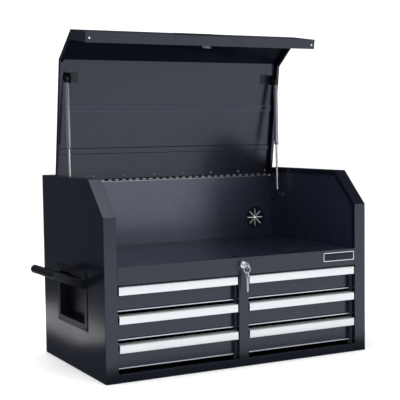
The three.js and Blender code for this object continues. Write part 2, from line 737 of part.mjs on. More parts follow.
const STRUT_TOP_OPEN = lidOpened(STRUT_TOP_CLOSED);
const STRUT_CLOSED = Math.hypot(STRUT_TOP_CLOSED[0] - STUD[0], STRUT_TOP_CLOSED[1] - STUD[1]);
const STRUT_OPEN = Math.hypot(STRUT_TOP_OPEN[0] - STUD[0], STRUT_TOP_OPEN[1] - STUD[1]);
const STRUT_TUBE_END = STRUT_CLOSED - STRUT_END_SPACE;

function strutBracket(name, side, parent) {
  const [y, z] = STRUT_TOP_CLOSED;
  const ear = STRUT_X - STRUT_EYE_WIDTH / 2 - 3;
  const top = LID_TOP - SHEET - GAP;
  const along = [y - BRACKET_LENGTH / 2, y + BRACKET_LENGTH / 2];
  const base = box([side * (ear - BRACKET_WIDTH), side * ear], along, [top - POST_SHEET, top]);
  const earPlate = box([side * (ear - POST_SHEET), side * ear], along, [z - 9, top]);
  const nut = rodX(5.5, [side * (ear - POST_SHEET - 5), side * ear], y, z, 6);
  const stud = rodX(STUD_SHAFT, [side * (ear - 1), side * (STRUT_X + STRUT_EYE_WIDTH / 2 + 1)], y, z, 16);
  const cap = rodX(
    STUD_BALL,
    [side * (STRUT_X + STRUT_EYE_WIDTH / 2 + GAP), side * (STRUT_X + STRUT_EYE_WIDTH / 2 + 2.5)],
    y,
    z,
    16,
  );
  mesh(name, join(base, earPlate, nut, stud, cap), BLACK_STEEL, parent);
}

// The strut is drawn hanging straight down from its upper pivot at the origin of its own group.
function strut(word, side, parent) {
  const group = new THREE.Group();
  group.position.set(side * STRUT_X, STRUT_TOP_OPEN[0], STRUT_TOP_OPEN[1]);
  const lean = Math.atan2(STUD[0] - STRUT_TOP_OPEN[0], STRUT_TOP_OPEN[1] - STUD[1]);
  group.rotation.x = lean;
  const eyeSpan = [-STRUT_EYE_WIDTH / 2, STRUT_EYE_WIDTH / 2];
  const eye = rodX(STRUT_EYE, eyeSpan, 0, 0);
  const neck = rodZ(STRUT_EYE - 2, [-STRUT_TUBE_START - 1, -STRUT_EYE + 2], 0, 0);
  const tube = rodZ(STRUT_TUBE, [-STRUT_TUBE_END, -STRUT_TUBE_START], 0, 0, 24);
  const bore = rodZ(STRUT_ROD + STRUT_ROD_GAP, [-STRUT_TUBE_END - 1, -STRUT_TUBE_START - 4], 0, 0);
  const pivot = rodX(STRUT_EYE_BORE, [eyeSpan[0] - 1, eyeSpan[1] + 1], 0, 0, 16);
  mesh(word + "_strut_cylinder", cut(join(eye, neck, tube), bore, pivot), BLACK_STEEL, group);
  const rodTop = STRUT_TUBE_END - STRUT_ROD_OVERLAP;
  const rod = rodZ(STRUT_ROD, [-STRUT_OPEN + STRUT_EYE, -rodTop], 0, 0);
  const socket = rodX(STRUT_EYE, eyeSpan, 0, -STRUT_OPEN);
  const collar = rodZ(STRUT_EYE - 2, [-STRUT_OPEN, -STRUT_OPEN + STRUT_TUBE_START], 0, 0);
  mesh(word + "_strut_rod", join(rod, socket, collar), ZINC, group);
  parent.add(group);
}

function ballStud(name, side, parent) {
  const wall = LINER_OUTER - SHEET - GAP;
  const tip = STRUT_X + STRUT_EYE_WIDTH / 2 + GAP * 2;
  const plate = rodX(7, [side * (wall - 3), side * wall], STUD[0], STUD[1], 6);
  const shaft = rodX(STUD_SHAFT, [side * tip, side * wall], STUD[0], STUD[1], 16);
  const ball = rodX(STUD_BALL, [side * tip, side * (tip + 5)], STUD[0], STUD[1], 16);
  mesh(name, join(plate, shaft, ball), ZINC, parent);
}

// ---- Lock and keys ----
function lockCylinder(parent) {
  const bezel = rodY(LOCK_BEZEL, [FRONT - GAP - 2.5, FRONT - GAP], 0, LOCK_Z, 32);
  const barrel = rodY(LOCK_BARREL, [FRONT - GAP - 1, FRONT + LOCK_LENGTH], 0, LOCK_Z);
  const bore = rodY(LOCK_PLUG + GAP, [FRONT - 10, FRONT + LOCK_LENGTH + 1], 0, LOCK_Z);
  mesh("lock_cylinder", cut(join(bezel, barrel), bore), CHROME, parent);
}

function keyPlate(bowY, bowZ, radius) {
  return rodX(radius, [-KEY_THICKNESS / 2, KEY_THICKNESS / 2], bowY, bowZ, 28);
}

function keyInLock(parent) {
  const behind = FRONT + LOCK_LENGTH + GAP;
  const plug = rodY(LOCK_PLUG, [FRONT - 2, behind + 2], 0, LOCK_Z);
  const arm = box([0, CAM_REACH + CAM_PIN], [behind, behind + 2], [LOCK_Z - 3, LOCK_Z + 3]);
  const pin = rodY(CAM_PIN, [behind, HOOK_Y + 2], CAM_REACH, LOCK_Z, 12);
  const shank = box(
    [-KEY_THICKNESS / 2, KEY_THICKNESS / 2],
    [KEY_Y, FRONT - 1],
    [LOCK_Z - KEY_SHANK / 2, LOCK_Z + KEY_SHANK / 2],
  );
  const hole = rodX(KEY_HOLE, [-KEY_THICKNESS, KEY_THICKNESS], KEY_Y, LOCK_Z, 20);
  const whole = join(plug, arm, pin, shank, keyPlate(KEY_Y, LOCK_Z, KEY_BOW));
  mesh("key_in_lock", cut(whole, hole), CHROME, parent);
}

function keyRing(parent) {
  const ring = new THREE.TorusGeometry(RING_RADIUS, RING_WIRE, 6, 24);
  ring.rotateX(Math.PI / 2);
  ring.translate(0, KEY_Y, LOCK_Z - RING_RADIUS);
  mesh("key_ring", solid(ring), CHROME, parent);
}

function spareKey(parent) {
  const hang = LOCK_Z - 2 * RING_RADIUS;
  const half = KEY_THICKNESS / 2;
  const bowZ = hang - SPARE_BOW + KEY_HOLE + 1;
  const bow = keyPlate(KEY_Y, bowZ, SPARE_BOW);
  const bladeY = [KEY_Y - SPARE_BLADE / 2, KEY_Y + SPARE_BLADE / 2];
  const blade = box([-half, half], bladeY, [hang - SPARE_LENGTH, bowZ]);
  const hole = rodX(KEY_HOLE - 0.5, [-KEY_THICKNESS, KEY_THICKNESS], KEY_Y, hang, 20);
  mesh("spare_key", cut(join(bow, blade), hole), CHROME, parent);
}

// ---- Side handles ----
function handleRecess(name, side, parent) {
  const face = [side * (HALF + GAP), side * (HALF + GAP + RECESS_SHEET)];
  const floor = HALF + GAP - RECESS_DEPTH;
  const outer = recessSpan(RECESS_SHEET);
  const inner = recessSpan(0);
  const rim = recessSpan(RECESS_FLANGE);
  const flange = box(face, rim.y, rim.z);
  const dish = box([side * (floor - RECESS_SHEET), face[1]], outer.y, outer.z);
  const hollow = box([side * floor, side * (HALF + 10)], inner.y, inner.z);
  const pins = [-1, 1].map((end) => {
    const wall = HANDLE_PLACE + (end * RECESS_LENGTH) / 2;
    const span = [wall + end * (RECESS_SHEET / 2), wall - end * (RECESS_ARM_GAP + ARM_SHEET)];
    return rodY(PIVOT_RADIUS, span, side * (HALF - HANDLE_PIVOT_IN), HANDLE_PIVOT_Z, 16);
  });
  mesh(name, join(cut(join(flange, dish), hollow), ...pins), BLACK_STEEL, parent);
}

// The bail is drawn pointing straight out from its pivot at the origin of its own group.
function handleBail(name, side, parent) {
  const group = new THREE.Group();
  group.position.set(side * (HALF - HANDLE_PIVOT_IN), HANDLE_PLACE, HANDLE_PIVOT_Z);
  group.rotation.y = -side * THREE.MathUtils.degToRad(HANDLE_UP_DEG);
  const reach = RECESS_LENGTH / 2 - RECESS_ARM_GAP;
  const arms = [-1, 1].map((end) => {
    const y = [end * (reach - ARM_SHEET), end * reach];
    const plate = box([0, side * HANDLE_ARM], y, [-ARM_WIDTH / 2, ARM_WIDTH / 2]);
    const boss = rodY(ARM_WIDTH / 2, y, 0, 0);
    const tip = rodY(ARM_WIDTH / 2, y, side * HANDLE_ARM, 0);
    const bore = rodY(PIVOT_RADIUS + GAP, [end * (reach - ARM_SHEET - 1), end * (reach + 1)], 0, 0, 16);
    return cut(join(plate, boss, tip), bore);
  });
  const grip = rodY(GRIP_RADIUS, [-reach + 1, reach - 1], side * HANDLE_ARM, 0, 28);
  mesh(name, join(...arms, grip), RUBBER, group);
  parent.add(group);
}

// ---- Assembly ----
const chest = new THREE.Group();
const lid = new THREE.Group();
const lidInside = new THREE.Group();

for (const [word, side] of [["left", -1], ["right", 1]]) {
  sidePanel(word + "_side_panel", side, chest);
  sideLiner(word + "_side_liner", side, chest);
  ballStud(word + "_strut_ball_stud", side, chest);
  handleRecess(word + "_handle_recess", side, chest);
  handleBail(word + "_handle_bail", side, chest);
  strut(word, side, chest);
  strutBracket(word + "_strut_bracket", side, lidInside);
}
backPanel(chest);
basePan(chest);
deckPanel(chest);
fasciaRail(chest);
centrePartition(chest);
cableGrommet(chest);
slideRacks(chest);
drawers(chest);
cabinetLeaf(chest);
hingePin(chest);
lockCylinder(chest);
keyInLock(chest);
keyRing(chest);
spareKey(chest);

lidShell(lidInside);
lidLiftCup(lidInside);
latchHook(lidInside);
lidLeaf(lidInside);
lidInside.position.set(0, -HINGE.y, -HINGE.z);
lid.add(lidInside);
lid.position.set(0, HINGE.y, HINGE.z);
lid.rotation.x = -LID_OPEN;
chest.add(lid);

export default chest;
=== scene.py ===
"""Blue-black steel top tool chest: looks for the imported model, in metres.

The frame holds every solid of the chest. This script dresses each one in its real finish, stands finer
pieces in for the pulls, hinge, lock, keys, struts, handles and rubber parts, and sets a plain studio.
"""

import logging
import math
from dataclasses import dataclass
from enum import Enum

import bpy
import numpy as np
from mathutils import Matrix, Vector


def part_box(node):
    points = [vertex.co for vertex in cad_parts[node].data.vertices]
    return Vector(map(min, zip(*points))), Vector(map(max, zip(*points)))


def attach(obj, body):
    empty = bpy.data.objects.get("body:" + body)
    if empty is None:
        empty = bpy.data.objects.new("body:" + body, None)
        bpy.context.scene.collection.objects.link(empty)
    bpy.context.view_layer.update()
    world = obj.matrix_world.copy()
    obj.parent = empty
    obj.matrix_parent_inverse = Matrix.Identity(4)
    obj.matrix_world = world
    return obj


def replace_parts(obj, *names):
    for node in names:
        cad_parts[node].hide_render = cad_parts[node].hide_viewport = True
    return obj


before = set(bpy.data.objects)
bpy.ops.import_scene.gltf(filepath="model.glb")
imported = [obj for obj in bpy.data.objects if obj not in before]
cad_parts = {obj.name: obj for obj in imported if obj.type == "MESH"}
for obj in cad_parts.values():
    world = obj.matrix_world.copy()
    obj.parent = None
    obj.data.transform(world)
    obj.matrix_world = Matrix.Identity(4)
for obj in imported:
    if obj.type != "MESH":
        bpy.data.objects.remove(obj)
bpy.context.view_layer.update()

LOG = logging.getLogger("tool_chest")
MM = 0.001
SHARP = math.radians(32)  # faces that meet at a wider angle keep their edge
SIDES = {"left": -1, "right": 1}
ROWS = ("top", "middle", "bottom")
Array = np.ndarray
Solid = tuple[Array, list]  # vertices, and faces as vertex numbers
X_AXIS, Y_AXIS, Z_AXIS = np.eye(3)


# ---- Numbers and nodes ----


def linear(colour: int) -> tuple[float, float, float, float]:
    """Turns an sRGB hex value into the linear colour that shaders take.

    Args:
        colour: the colour as 0xRRGGBB.

    Returns:
        Red, green, blue and alpha, linear.
    """
    parts = [((colour >> shift) & 255) / 255 for shift in (16, 8, 0)]
    bent = [c / 12.92 if c <= 0.04045 else ((c + 0.055) / 1.055) ** 2.4 for c in parts]
    return (bent[0], bent[1], bent[2], 1.0)


def add(
    tree: bpy.types.NodeTree, kind: str, inputs: dict | None = None, **settings: object
) -> bpy.types.Node:
    """Adds a node, sets its properties and fills or links its inputs.

    Args:
        tree: the node tree.
        kind: the node's type name.
        inputs: socket name or number to a value, or to an output socket to link.
        settings: the node's own properties.

    Returns:
        The new node.
    """
    node = tree.nodes.new(kind)
    for key, value in settings.items():
        setattr(node, key, value)
    for key, value in (inputs or {}).items():
        socket = node.inputs[key]
        if isinstance(value, bpy.types.NodeSocket):
            tree.links.new(value, socket)
        else:
            socket.default_value = value
    return node


class Grain(Enum):
    """How a surface was made, as the stretch of its pattern along X, Y and Z."""

    EVEN = (1.0, 1.0, 1.0)
    ALONG_X = (0.02, 1.0, 1.0)
    ALONG_Y = (1.0, 0.02, 1.0)
    ALONG_Z = (1.0, 1.0, 0.02)


@dataclass(frozen=True)
class Finish:
    """One real finish: two close colours, gloss, and a fine grain with a real size.

    The colour wanders between the two hex values in clouds of cloud_mm. Roughness wanders by spread,
    and the grain is a bump grain_mm wide and deep_mm deep. A paint may have a clear coat, and specular,
    glint and ior give the strength and tint of its reflections.
    """

    name: str
    colour: int
    other: int
    roughness: float
    metallic: float = 0.0
    spread: float = 0.05
    grain: Grain = Grain.EVEN
    grain_mm: float = 2.0
    deep_mm: float = 0.02
    cloud_mm: float = 120.0
    coat: float = 0.0
    coat_roughness: float = 0.1
    specular: float = 0.5
    glint: int = 0xFFFFFF
    ior: float = 1.5

    @staticmethod
    def noise(
        tree: bpy.types.NodeTree, place: bpy.types.NodeSocket, width_mm: float, detail: float
    ) -> bpy.types.NodeSocket:
        """Adds a noise pattern with features about width_mm wide, and gives its Fac output."""
        inputs = {"Vector": place, "Scale": 1 / (width_mm * MM), "Detail": detail}
        return add(tree, "ShaderNodeTexNoise", inputs).outputs["Fac"]

    def material(self) -> bpy.types.Material:
        """Builds the node material, or returns it if it is already there.

        Returns:
            The material, with its pattern on Object coordinates.
        """
        made = bpy.data.materials.get(self.name)
        if made:
            return made
        made = bpy.data.materials.new(self.name)
        made.use_nodes = True
        tree = made.node_tree
        tree.nodes.clear()
        place = add(tree, "ShaderNodeTexCoord").outputs["Object"]
        stretch = add(tree, "ShaderNodeMapping", {"Vector": place, "Scale": self.grain.value})
        clouds = self.noise(tree, place, self.cloud_mm, 3.0)
        fine = self.noise(tree, stretch.outputs["Vector"], self.grain_mm, 2.0)
        colours = {"Factor": clouds, 6: linear(self.colour), 7: linear(self.other)}
        tint = add(tree, "ShaderNodeMix", colours, data_type="RGBA")
        mixed = add(tree, "ShaderNodeMath", {0: clouds, 1: fine}, operation="MULTIPLY")
        span = {
            "Value": mixed.outputs["Value"], "From Min": 0.1, "From Max": 0.45,
            "To Min": max(self.roughness - self.spread, 0.02), "To Max": self.roughness + self.spread,
        }
        gloss = add(tree, "ShaderNodeMapRange", span)
        bump = add(tree, "ShaderNodeBump", {"Height": fine, "Distance": self.deep_mm * MM, "Strength": 1.0})
        look = {
            "Base Color": tint.outputs[2],
            "Metallic": self.metallic,
            "Roughness": gloss.outputs["Result"],
            "Normal": bump.outputs["Normal"],
            "Coat Weight": self.coat,
            "Coat Roughness": self.coat_roughness,
            "Specular IOR Level": self.specular,
            "Specular Tint": linear(self.glint),
            "IOR": self.ior,
        }
        shader = add(tree, "ShaderNodeBsdfPrincipled", look)
        add(tree, "ShaderNodeOutputMaterial", {"Surface": shader.outputs["BSDF"]})
        return made


# Blue-black powder coat, baked smooth: soft reflections with a little orange peel.
CASE_PAINT = Finish(
    "blue_black_powder_coat", 0x0A0B13, 0x0C0E17, 0.24,
    spread=0.03, grain_mm=2.6, deep_mm=0.012, specular=0.62, glint=0xDDE4FA,
)
# The same coat inside the lid and the compartment, a touch rougher where the spray reaches it dry.
INNER_PAINT = Finish(
    "dry_sprayed_powder_coat", 0x161A27, 0x191E2C, 0.28,
    spread=0.04, grain_mm=1.8, deep_mm=0.016, specular=0.9, glint=0xDDE4FA, ior=1.68,
)
# Drawer fronts, coated flat on the line, so a little glossier than the case.
DRAWER_PAINT = Finish(
    "drawer_powder_coat", 0x0D0F18, 0x0F121B, 0.22,
    spread=0.03, grain_mm=2.6, deep_mm=0.012, specular=0.62, glint=0xDDE4FA,
)
# Extruded aluminium, brushed along its length and clear anodised: bright and silky.
PULL_METAL = Finish(
    "clear_anodised_aluminium", 0xCFD1D5, 0xC9CBCF, 0.34, 0.6, 0.03, Grain.ALONG_X, 0.5, 0.002, 400.0
)
# Bright zinc plate on cold-rolled slides.
ZINC = Finish("bright_zinc_plate", 0xB2B5BA, 0x9DA1A8, 0.36, 1.0, 0.1, Grain.ALONG_Y, 1.2, 0.01, 9.0)
# Zinc on the fixed slide racks and the latch hook, passivated and dulled. On the lid's upper rib beads the
# same finish is a painted highlight on the lid's paint.
ZINC_AND_RIB_HIGHLIGHT = Finish(
    "passivated_zinc_and_painted_rib_highlight", 0x5E657A, 0x525A70, 0.4, 0.35, 0.08, Grain.ALONG_Z, 1.4, 0.01, 30.0
)
# A painted highlight on the drawer fronts' rolled lower edge: a bright strip that stands in for the glint of
# the real edge, whose coat is the drawer paint.
PAINTED_EDGE_HIGHLIGHT = Finish(
    "painted_highlight_on_rolled_edge", 0xC4C8D2, 0xB2B6C2, 0.25, 0.4, 0.06, Grain.ALONG_X, 0.8, 0.004, 40.0
)
# Rolled hinge steel, plain plated, dulled by the rolls.
HINGE_STEEL = Finish(
    "rolled_hinge_steel", 0xB4B8BF, 0x9CA1A9, 0.34, 0.9, 0.08, Grain.ALONG_X, 1.0, 0.02, 14.0
)
# Black powder coat on small pressed parts.
BLACK_STEEL = Finish(
    "black_pressed_steel", 0x07080E, 0x0A0B12, 0.42, spread=0.05, grain_mm=1.6, deep_mm=0.015, glint=0xDDE4FA
)
# Grey gloss lacquer with a metallic base on the gas tubes.
TUBE_LACQUER = Finish(
    "dark_grey_strut_lacquer", 0x8E9198, 0x83868D, 0.2, 0.7, 0.05, Grain.ALONG_Z, 1.5, 0.004, 40.0
)
# Ground and hard-chromed rod.
ROD_CHROME = Finish("hard_chrome_rod", 0xD8D4CB, 0xCBC8C1, 0.16, 0.85, 0.04, Grain.ALONG_Z, 0.8, 0.004, 30.0)
# Polished nickel and chrome on the lock and keys.
LOCK_CHROME = Finish("polished_lock_chrome", 0xEEF0F2, 0xDCDFE3, 0.2, 0.75, 0.06, Grain.EVEN, 1.0, 0.006, 8.0)
# Moulded black rubber.
RUBBER = Finish(
    "moulded_black_rubber", 0x0C0E18, 0x10121D, 0.5, spread=0.08, grain_mm=0.7, deep_mm=0.02, glint=0xC8D2FA
)
# Soft vinyl hand grip with a dull skin.
VINYL = Finish("soft_black_vinyl", 0x0A0B12, 0x0E1018, 0.46, spread=0.08, grain_mm=0.9, deep_mm=0.04)
# Black moulded plastic with a spark-eroded texture.
CUP_PLASTIC = Finish(
    "textured_black_plastic", 0x101114, 0x15161A, 0.52, spread=0.05, grain_mm=0.8, deep_mm=0.05
)
# Bright rolled metal of the nameplate's rim and the lid bumpers' caps.
PLATE_RIM = Finish("bright_plate_rim", 0xD6D8DB, 0xC6C9CD, 0.22, 1.0, 0.05, Grain.ALONG_X, 0.6, 0.006, 20.0)
# Blank dark field of the nameplate.
PLATE_FIELD = Finish(
    "dark_plate_enamel", 0x06070B, 0x090A10, 0.2,
    spread=0.04, grain_mm=0.6, deep_mm=0.004, specular=0.3, glint=0xDDE4FA,
)
# Pale seamless paper under and behind the chest.
PAPER = Finish(
    "pale_studio_paper", 0xFBFBFA, 0xF8F8F7, 0.85, spread=0.03, grain_mm=3.0, deep_mm=0.05, cloud_mm=900.0
)


# ---- Surfaces worked out as whole arrays ----


def piece(
    name: str, points: Array, faces: list, finish: Finish, body: str, slot: str
) -> bpy.types.Object:
    """Makes one finished piece that rides on a body, shaded as one where faces meet at a shallow angle.

    Args:
        name: the piece's name.
        points: its vertices, n by 3, in metres in the frame.
        faces: its faces as vertex numbers.
        finish: what it is finished in.
        body: the CAD body that it moves with.
        slot: the record's material slot; not used.

    Returns:
        The new object.
    """
    mesh = bpy.data.meshes.new(name)
    mesh.from_pydata(np.asarray(points, float).tolist(), [], [list(map(int, f)) for f in faces])
    mesh.update()
    made = bpy.data.objects.new(name, mesh)
    bpy.context.scene.collection.objects.link(made)
    mesh.materials.append(finish.material())
    mesh.polygons.foreach_set("use_smooth", np.ones(len(mesh.polygons), bool))
    mesh.set_sharp_from_angle(angle=SHARP)
    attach(made, body)
    return made


def grid_faces(rows: int, columns: int, close_rows: bool = False, close_columns: bool = True) -> Array:
    """Faces of a grid of rows by columns vertices, wrapped round where it closes.

    Args:
        rows: vertices along the first parameter.
        columns: vertices along the second parameter.
        close_rows: whether the last row meets the first.
        close_columns: whether the last column meets the first.

    Returns:
        Quads as vertex numbers, each turning from row to row and then back along the column.
    """
    i = np.arange(rows if close_rows else rows - 1)[:, None]
    j = np.arange(columns if close_columns else columns - 1)[None, :]
    i1, j1 = (i + 1) % rows, (j + 1) % columns
    quads = np.stack([i * columns + j, i * columns + j1, i1 * columns + j1, i1 * columns + j], -1)
    return quads.reshape(-1, 4)


def capped_faces(rows: int, columns: int) -> list:
    """Faces of a tube of rows by columns vertices, with its first and its last row filled."""
    ends = [list(range(columns))[::-1], [(rows - 1) * columns + j for j in range(columns)]]
    return grid_faces(rows, columns).tolist() + ends


def rectangle(a0: float, b0: float, a1: float, b1: float) -> Array:
    """The corners of an upright rectangle, from its first corner along the first direction."""
    return np.array([(a0, b0), (a1, b0), (a1, b1), (a0, b1)])


def swept(profile: Array, path: Array, across: Array, up: Array) -> Solid:
    """A profile along a path, ends filled: path + first value * across + second value * up."""
    points = path[:, None] + profile[None, :, :1] * across + profile[None, :, 1:] * up
    return points.reshape(-1, 3), capped_faces(*points.shape[:2])


def basis(axis: Array) -> tuple[Array, Array, Array]:
    """Three unit directions at right angles.

    Args:
        axis: any direction.

    Returns:
        That direction and two across it, in right-handed order.
    """
    way = np.asarray(axis, float) / np.linalg.norm(axis)
    first = np.cross(way, Z_AXIS if abs(way[2]) < 0.9 else X_AXIS)
    first /= np.linalg.norm(first)
    return way, first, np.cross(way, first)


def steps_round(sides: int) -> Array:
    """The angles of a full turn in even steps."""
    return np.linspace(0, 2 * np.pi, sides, endpoint=False)


def carried_round(outline: Array, axis: Array, sides: int) -> Array:
    """An outline carried round an axis.

    Args:
        outline: n by 2, radius and distance along the axis.
        axis: its direction.
        sides: steps round.

    Returns:
        The points, n by sides by 3, from an axis that starts at the origin.
    """
    way, first, second = basis(axis)
    turn = steps_round(sides)
    around = np.cos(turn)[:, None] * first + np.sin(turn)[:, None] * second
    return outline[:, None, 1:] * way + outline[:, None, :1] * around[None]


def turned(outline: Array, centre: Array, axis: Array, sides: int = 40) -> Solid:
    """A solid of revolution whose outline starts and ends on the axis.

    A point is centre + distance times axis + radius times a direction that goes once round the axis.

    Args:
        outline: n by 2, radius and distance along the axis.
        centre: where the axis starts.
        axis: its direction.
        sides: steps round.

    Returns:
        The vertices and the faces, with one vertex at each pole.
    """
    rings = carried_round(outline[1:-1], axis, sides)
    poles = outline[[0, -1], 1:] * basis(axis)[0]
    points = np.concatenate([rings.reshape(-1, 3), poles]) + np.asarray(centre, float)
    count = len(rings)
    low, high = count * sides, count * sides + 1
    faces = grid_faces(count, sides).tolist()
    step = np.arange(sides)
    faces += np.stack([np.full(sides, low), (step + 1) % sides, step], -1).tolist()
    last = (count - 1) * sides
    faces += np.stack([np.full(sides, high), last + step, last + (step + 1) % sides], -1).tolist()
    return points, faces


def ring(outline: Array, centre: Array, axis: Array, sides: int = 48) -> Solid:
    """A hollow solid of revolution, from a closed outline of radius and distance along the axis."""
    points = carried_round(outline, axis, sides).reshape(-1, 3) + np.asarray(centre, float)
    return points, grid_faces(len(outline), sides, close_rows=True).tolist()


def rounded(corners: Array, radii: Array | float, steps: int = 5) -> Array:
    """Rounds the corners of a closed outline with circular arcs.

    Each corner becomes an arc that touches both of its sides, at radius over the tangent of half the
    angle between them.

    Args:
        corners: n by 2 corner points.
        radii: one radius, or one for each corner.
        steps: points in an arc.

    Returns:
        The rounded outline, m by 2.
    """
    corners = np.asarray(corners, float)
    radii = np.broadcast_to(radii, len(corners))
    back = np.roll(corners, 1, 0) - corners
    on = np.roll(corners, -1, 0) - corners
    back /= np.linalg.norm(back, axis=1)[:, None]
    on /= np.linalg.norm(on, axis=1)[:, None]
    half = np.arccos(np.clip((back * on).sum(1), -0.9999, 0.9999)) / 2
    start = corners + back * (radii / np.tan(half))[:, None]
    end = corners + on * (radii / np.tan(half))[:, None]
    middle = back + on
    middle /= np.linalg.norm(middle, axis=1)[:, None]
    centre = corners + middle * (radii / np.sin(half))[:, None]
    share = np.linspace(0, 1, steps)[None, :, None]
    sweep = (np.pi - 2 * half)[:, None, None]
    a, b = start - centre, end - centre
    weight_a = np.sin((1 - share) * sweep) / np.sin(sweep)
    weight_b = np.sin(share * sweep) / np.sin(sweep)
    arcs = centre[:, None] + weight_a * a[:, None] + weight_b * b[:, None]
    return arcs.reshape(-1, 2)


def facing_out(made: bpy.types.Object) -> bpy.types.Object:
    """Turns a closed piece's faces outwards if its signed volume is negative.

    Args:
        made: a closed mesh piece.

    Returns:
        The same piece.
    """
    mesh = made.data
    mesh.calc_loop_triangles()
    count = len(mesh.loop_triangles)
    corners = np.empty(count * 3, np.int32)
    mesh.loop_triangles.foreach_get("vertices", corners)
    spots = np.empty(len(mesh.vertices) * 3, np.float32)
    mesh.vertices.foreach_get("co", spots)
    a, b, c = spots.reshape(-1, 3)[corners.reshape(-1, 3)].transpose(1, 0, 2).astype(float)
    if np.einsum("ij,ij->i", a, np.cross(b, c)).sum() < 0:
        mesh.flip_normals()
    return made


def soften(
    made: bpy.types.Object, width: float, segments: int = 3, limit: float = math.radians(35)
) -> bpy.types.Object:
    """Rounds an object's sharp edges with a bevel.

    Args:
        made: the object.
        width: how wide the rounding is.
        segments: steps in it.
        limit: the least angle between faces that counts as sharp.

    Returns:
        The same object.
    """
    bevel = made.modifiers.new("rounding", "BEVEL")
    bevel.width = width
    bevel.segments = segments
    bevel.limit_method = "ANGLE"
    bevel.angle_limit = limit
    bevel.harden_normals = True
    return made


# ---- What the frame already holds ----


@dataclass
class Dressing:
    """Gives the CAD nodes that stay in view their finishes and softens their folded edges."""

    bend: float = 0.8 * MM
    inner: tuple[str, ...] = ("left_side_liner", "right_side_liner", "back_panel", "deck_panel")
    case: tuple[str, ...] = (
        "left_side_panel", "right_side_panel", "base_pan", "fascia_rail", "centre_partition", "lid_shell",
    )

    def dress(self, node: str, finish: Finish, folded: bool = True) -> None:
        """Puts a finish on one CAD node, and a small bevel where its sheet is folded.

        Args:
            node: the CAD node's name.
            finish: its finish.
            folded: whether its edges get the bevel.
        """
        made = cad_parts[node]
        made.data.materials.clear()
        made.data.materials.append(finish.material())
        if folded:
            made.modifiers.new("weld", "WELD").merge_threshold = 0.01 * MM
            soften(made, self.bend, 2, math.radians(30))

    def build(self) -> None:
        """Dresses every node by what it is made of."""
        for node in self.case:
            self.dress(node, CASE_PAINT)
        for node in self.inner:
            self.dress(node, INNER_PAINT)
        for side in SIDES:
            self.dress(f"{side}_outer_slide_rack", ZINC_AND_RIB_HIGHLIGHT)
            self.dress(f"{side}_inner_slide_rack", ZINC_AND_RIB_HIGHLIGHT)
            self.dress(f"{side}_handle_recess", BLACK_STEEL)
            self.dress(f"{side}_strut_bracket", BLACK_STEEL)
            self.dress(f"{side}_strut_ball_stud", ZINC, folded=False)
            for row in ROWS:
                drawer = f"{side}_{row}_drawer"
                self.dress(drawer + "_left_runner", ZINC)
                self.dress(drawer + "_right_runner", ZINC)
        self.dress("hinge_pin", ZINC, folded=False)
        self.dress("lid_latch_hook", ZINC_AND_RIB_HIGHLIGHT)
        self.dress("lid_lift_cup", CUP_PLASTIC)
        LOG.info("CAD nodes dressed")


# ---- Finer pieces ----


def sized(node: str) -> tuple[Array, Array]:
    """A CAD node's lowest and highest corner as arrays."""
    low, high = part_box(node)
    return np.array(low), np.array(high)


def joined(parts: list[Solid]) -> Solid:
    """Puts several closed surfaces into one mesh, side by side.

    Args:
        parts: the vertices and faces of each.

    Returns:
        All the vertices and all the faces, renumbered.
    """
    starts = np.cumsum([0] + [len(p) for p, _ in parts[:-1]])
    faces = [[v + int(n) for v in f] for (_, fs), n in zip(parts, starts) for f in fs]
    return np.concatenate([p for p, _ in parts]), faces


def along_x(outline: Array, low: float, high: float) -> Solid:
    """A closed outline of depth and height carried straight along X, from low to high."""
    return swept(outline, np.array([[low, 0.0, 0.0], [high, 0.0, 0.0]]), Y_AXIS, Z_AXIS)


def dome(radius: float, height: float, steps: int = 7) -> Array:
    """A shallow domed head as a turned outline: the edge of an ellipse on a short upright rim.

    Args:
        radius: of the head.
        height: of the head.
        steps: points on the ellipse.

    Returns:
        Radius and distance, from the flat back to the top.
    """
    angle = np.linspace(0, np.pi / 2, steps)
    rim = np.stack([radius * np.cos(angle), height * (0.35 + 0.65 * np.sin(angle))], 1)
    return np.concatenate([[[0.0, 0.0], [radius, 0.0]], rim[:-1], [[0.0, height]]])


def cross_screw(
    centre: Array, axis: Array, radius: float = 4.0 * MM, height: float = 2.2 * MM
) -> Solid:
    """A pan-head screw whose head has a cross recess pressed in it.

    The head is a polar grid. Its height is the dome's, less a cross-shaped pit where the distance from
    either arm's middle line is under the arm's half width and the radius is under the arm's length.

    Args:
        centre: the middle of the head's back.
        axis: the way that the head faces.
        radius: of the head.
        height: of the head.

    Returns:
        The solid.
    """
    way, first, second = basis(axis)
    rows, columns = 10, 48
    arm_half, arm_length, pit = 0.13, 0.62, 0.45  # as shares of the radius and of the height
    share = np.linspace(1.0, 0.12, rows - 1)[:, None]
    turn = steps_round(columns)[None]
    a, b = share * np.cos(turn), share * np.sin(turn)
    rise = np.sqrt(np.clip(1.0 - 0.85 * share**2, 0, 1)) + 0 * turn
    arm = (np.minimum(np.abs(a), np.abs(b)) < arm_half) & (share < arm_length)
    lift = height * np.where(arm, rise - pit, rise)
    top = way * lift[..., None] + (first * a[..., None] + second * b[..., None]) * radius
    skirt = (first * a[:1, :, None] + second * b[:1, :, None]) * radius
    rings = np.concatenate([skirt, top]).reshape(-1, 3)
    faces = grid_faces(rows, columns).tolist()
    faces.append(list(range(columns))[::-1])
    middle, last = len(rings), (rows - 1) * columns
    faces += [[last + j, last + (j + 1) % columns, middle] for j in range(columns)]
    points = np.concatenate([rings, [way * height * 0.5]]) + np.asarray(centre, float)
    return points, faces


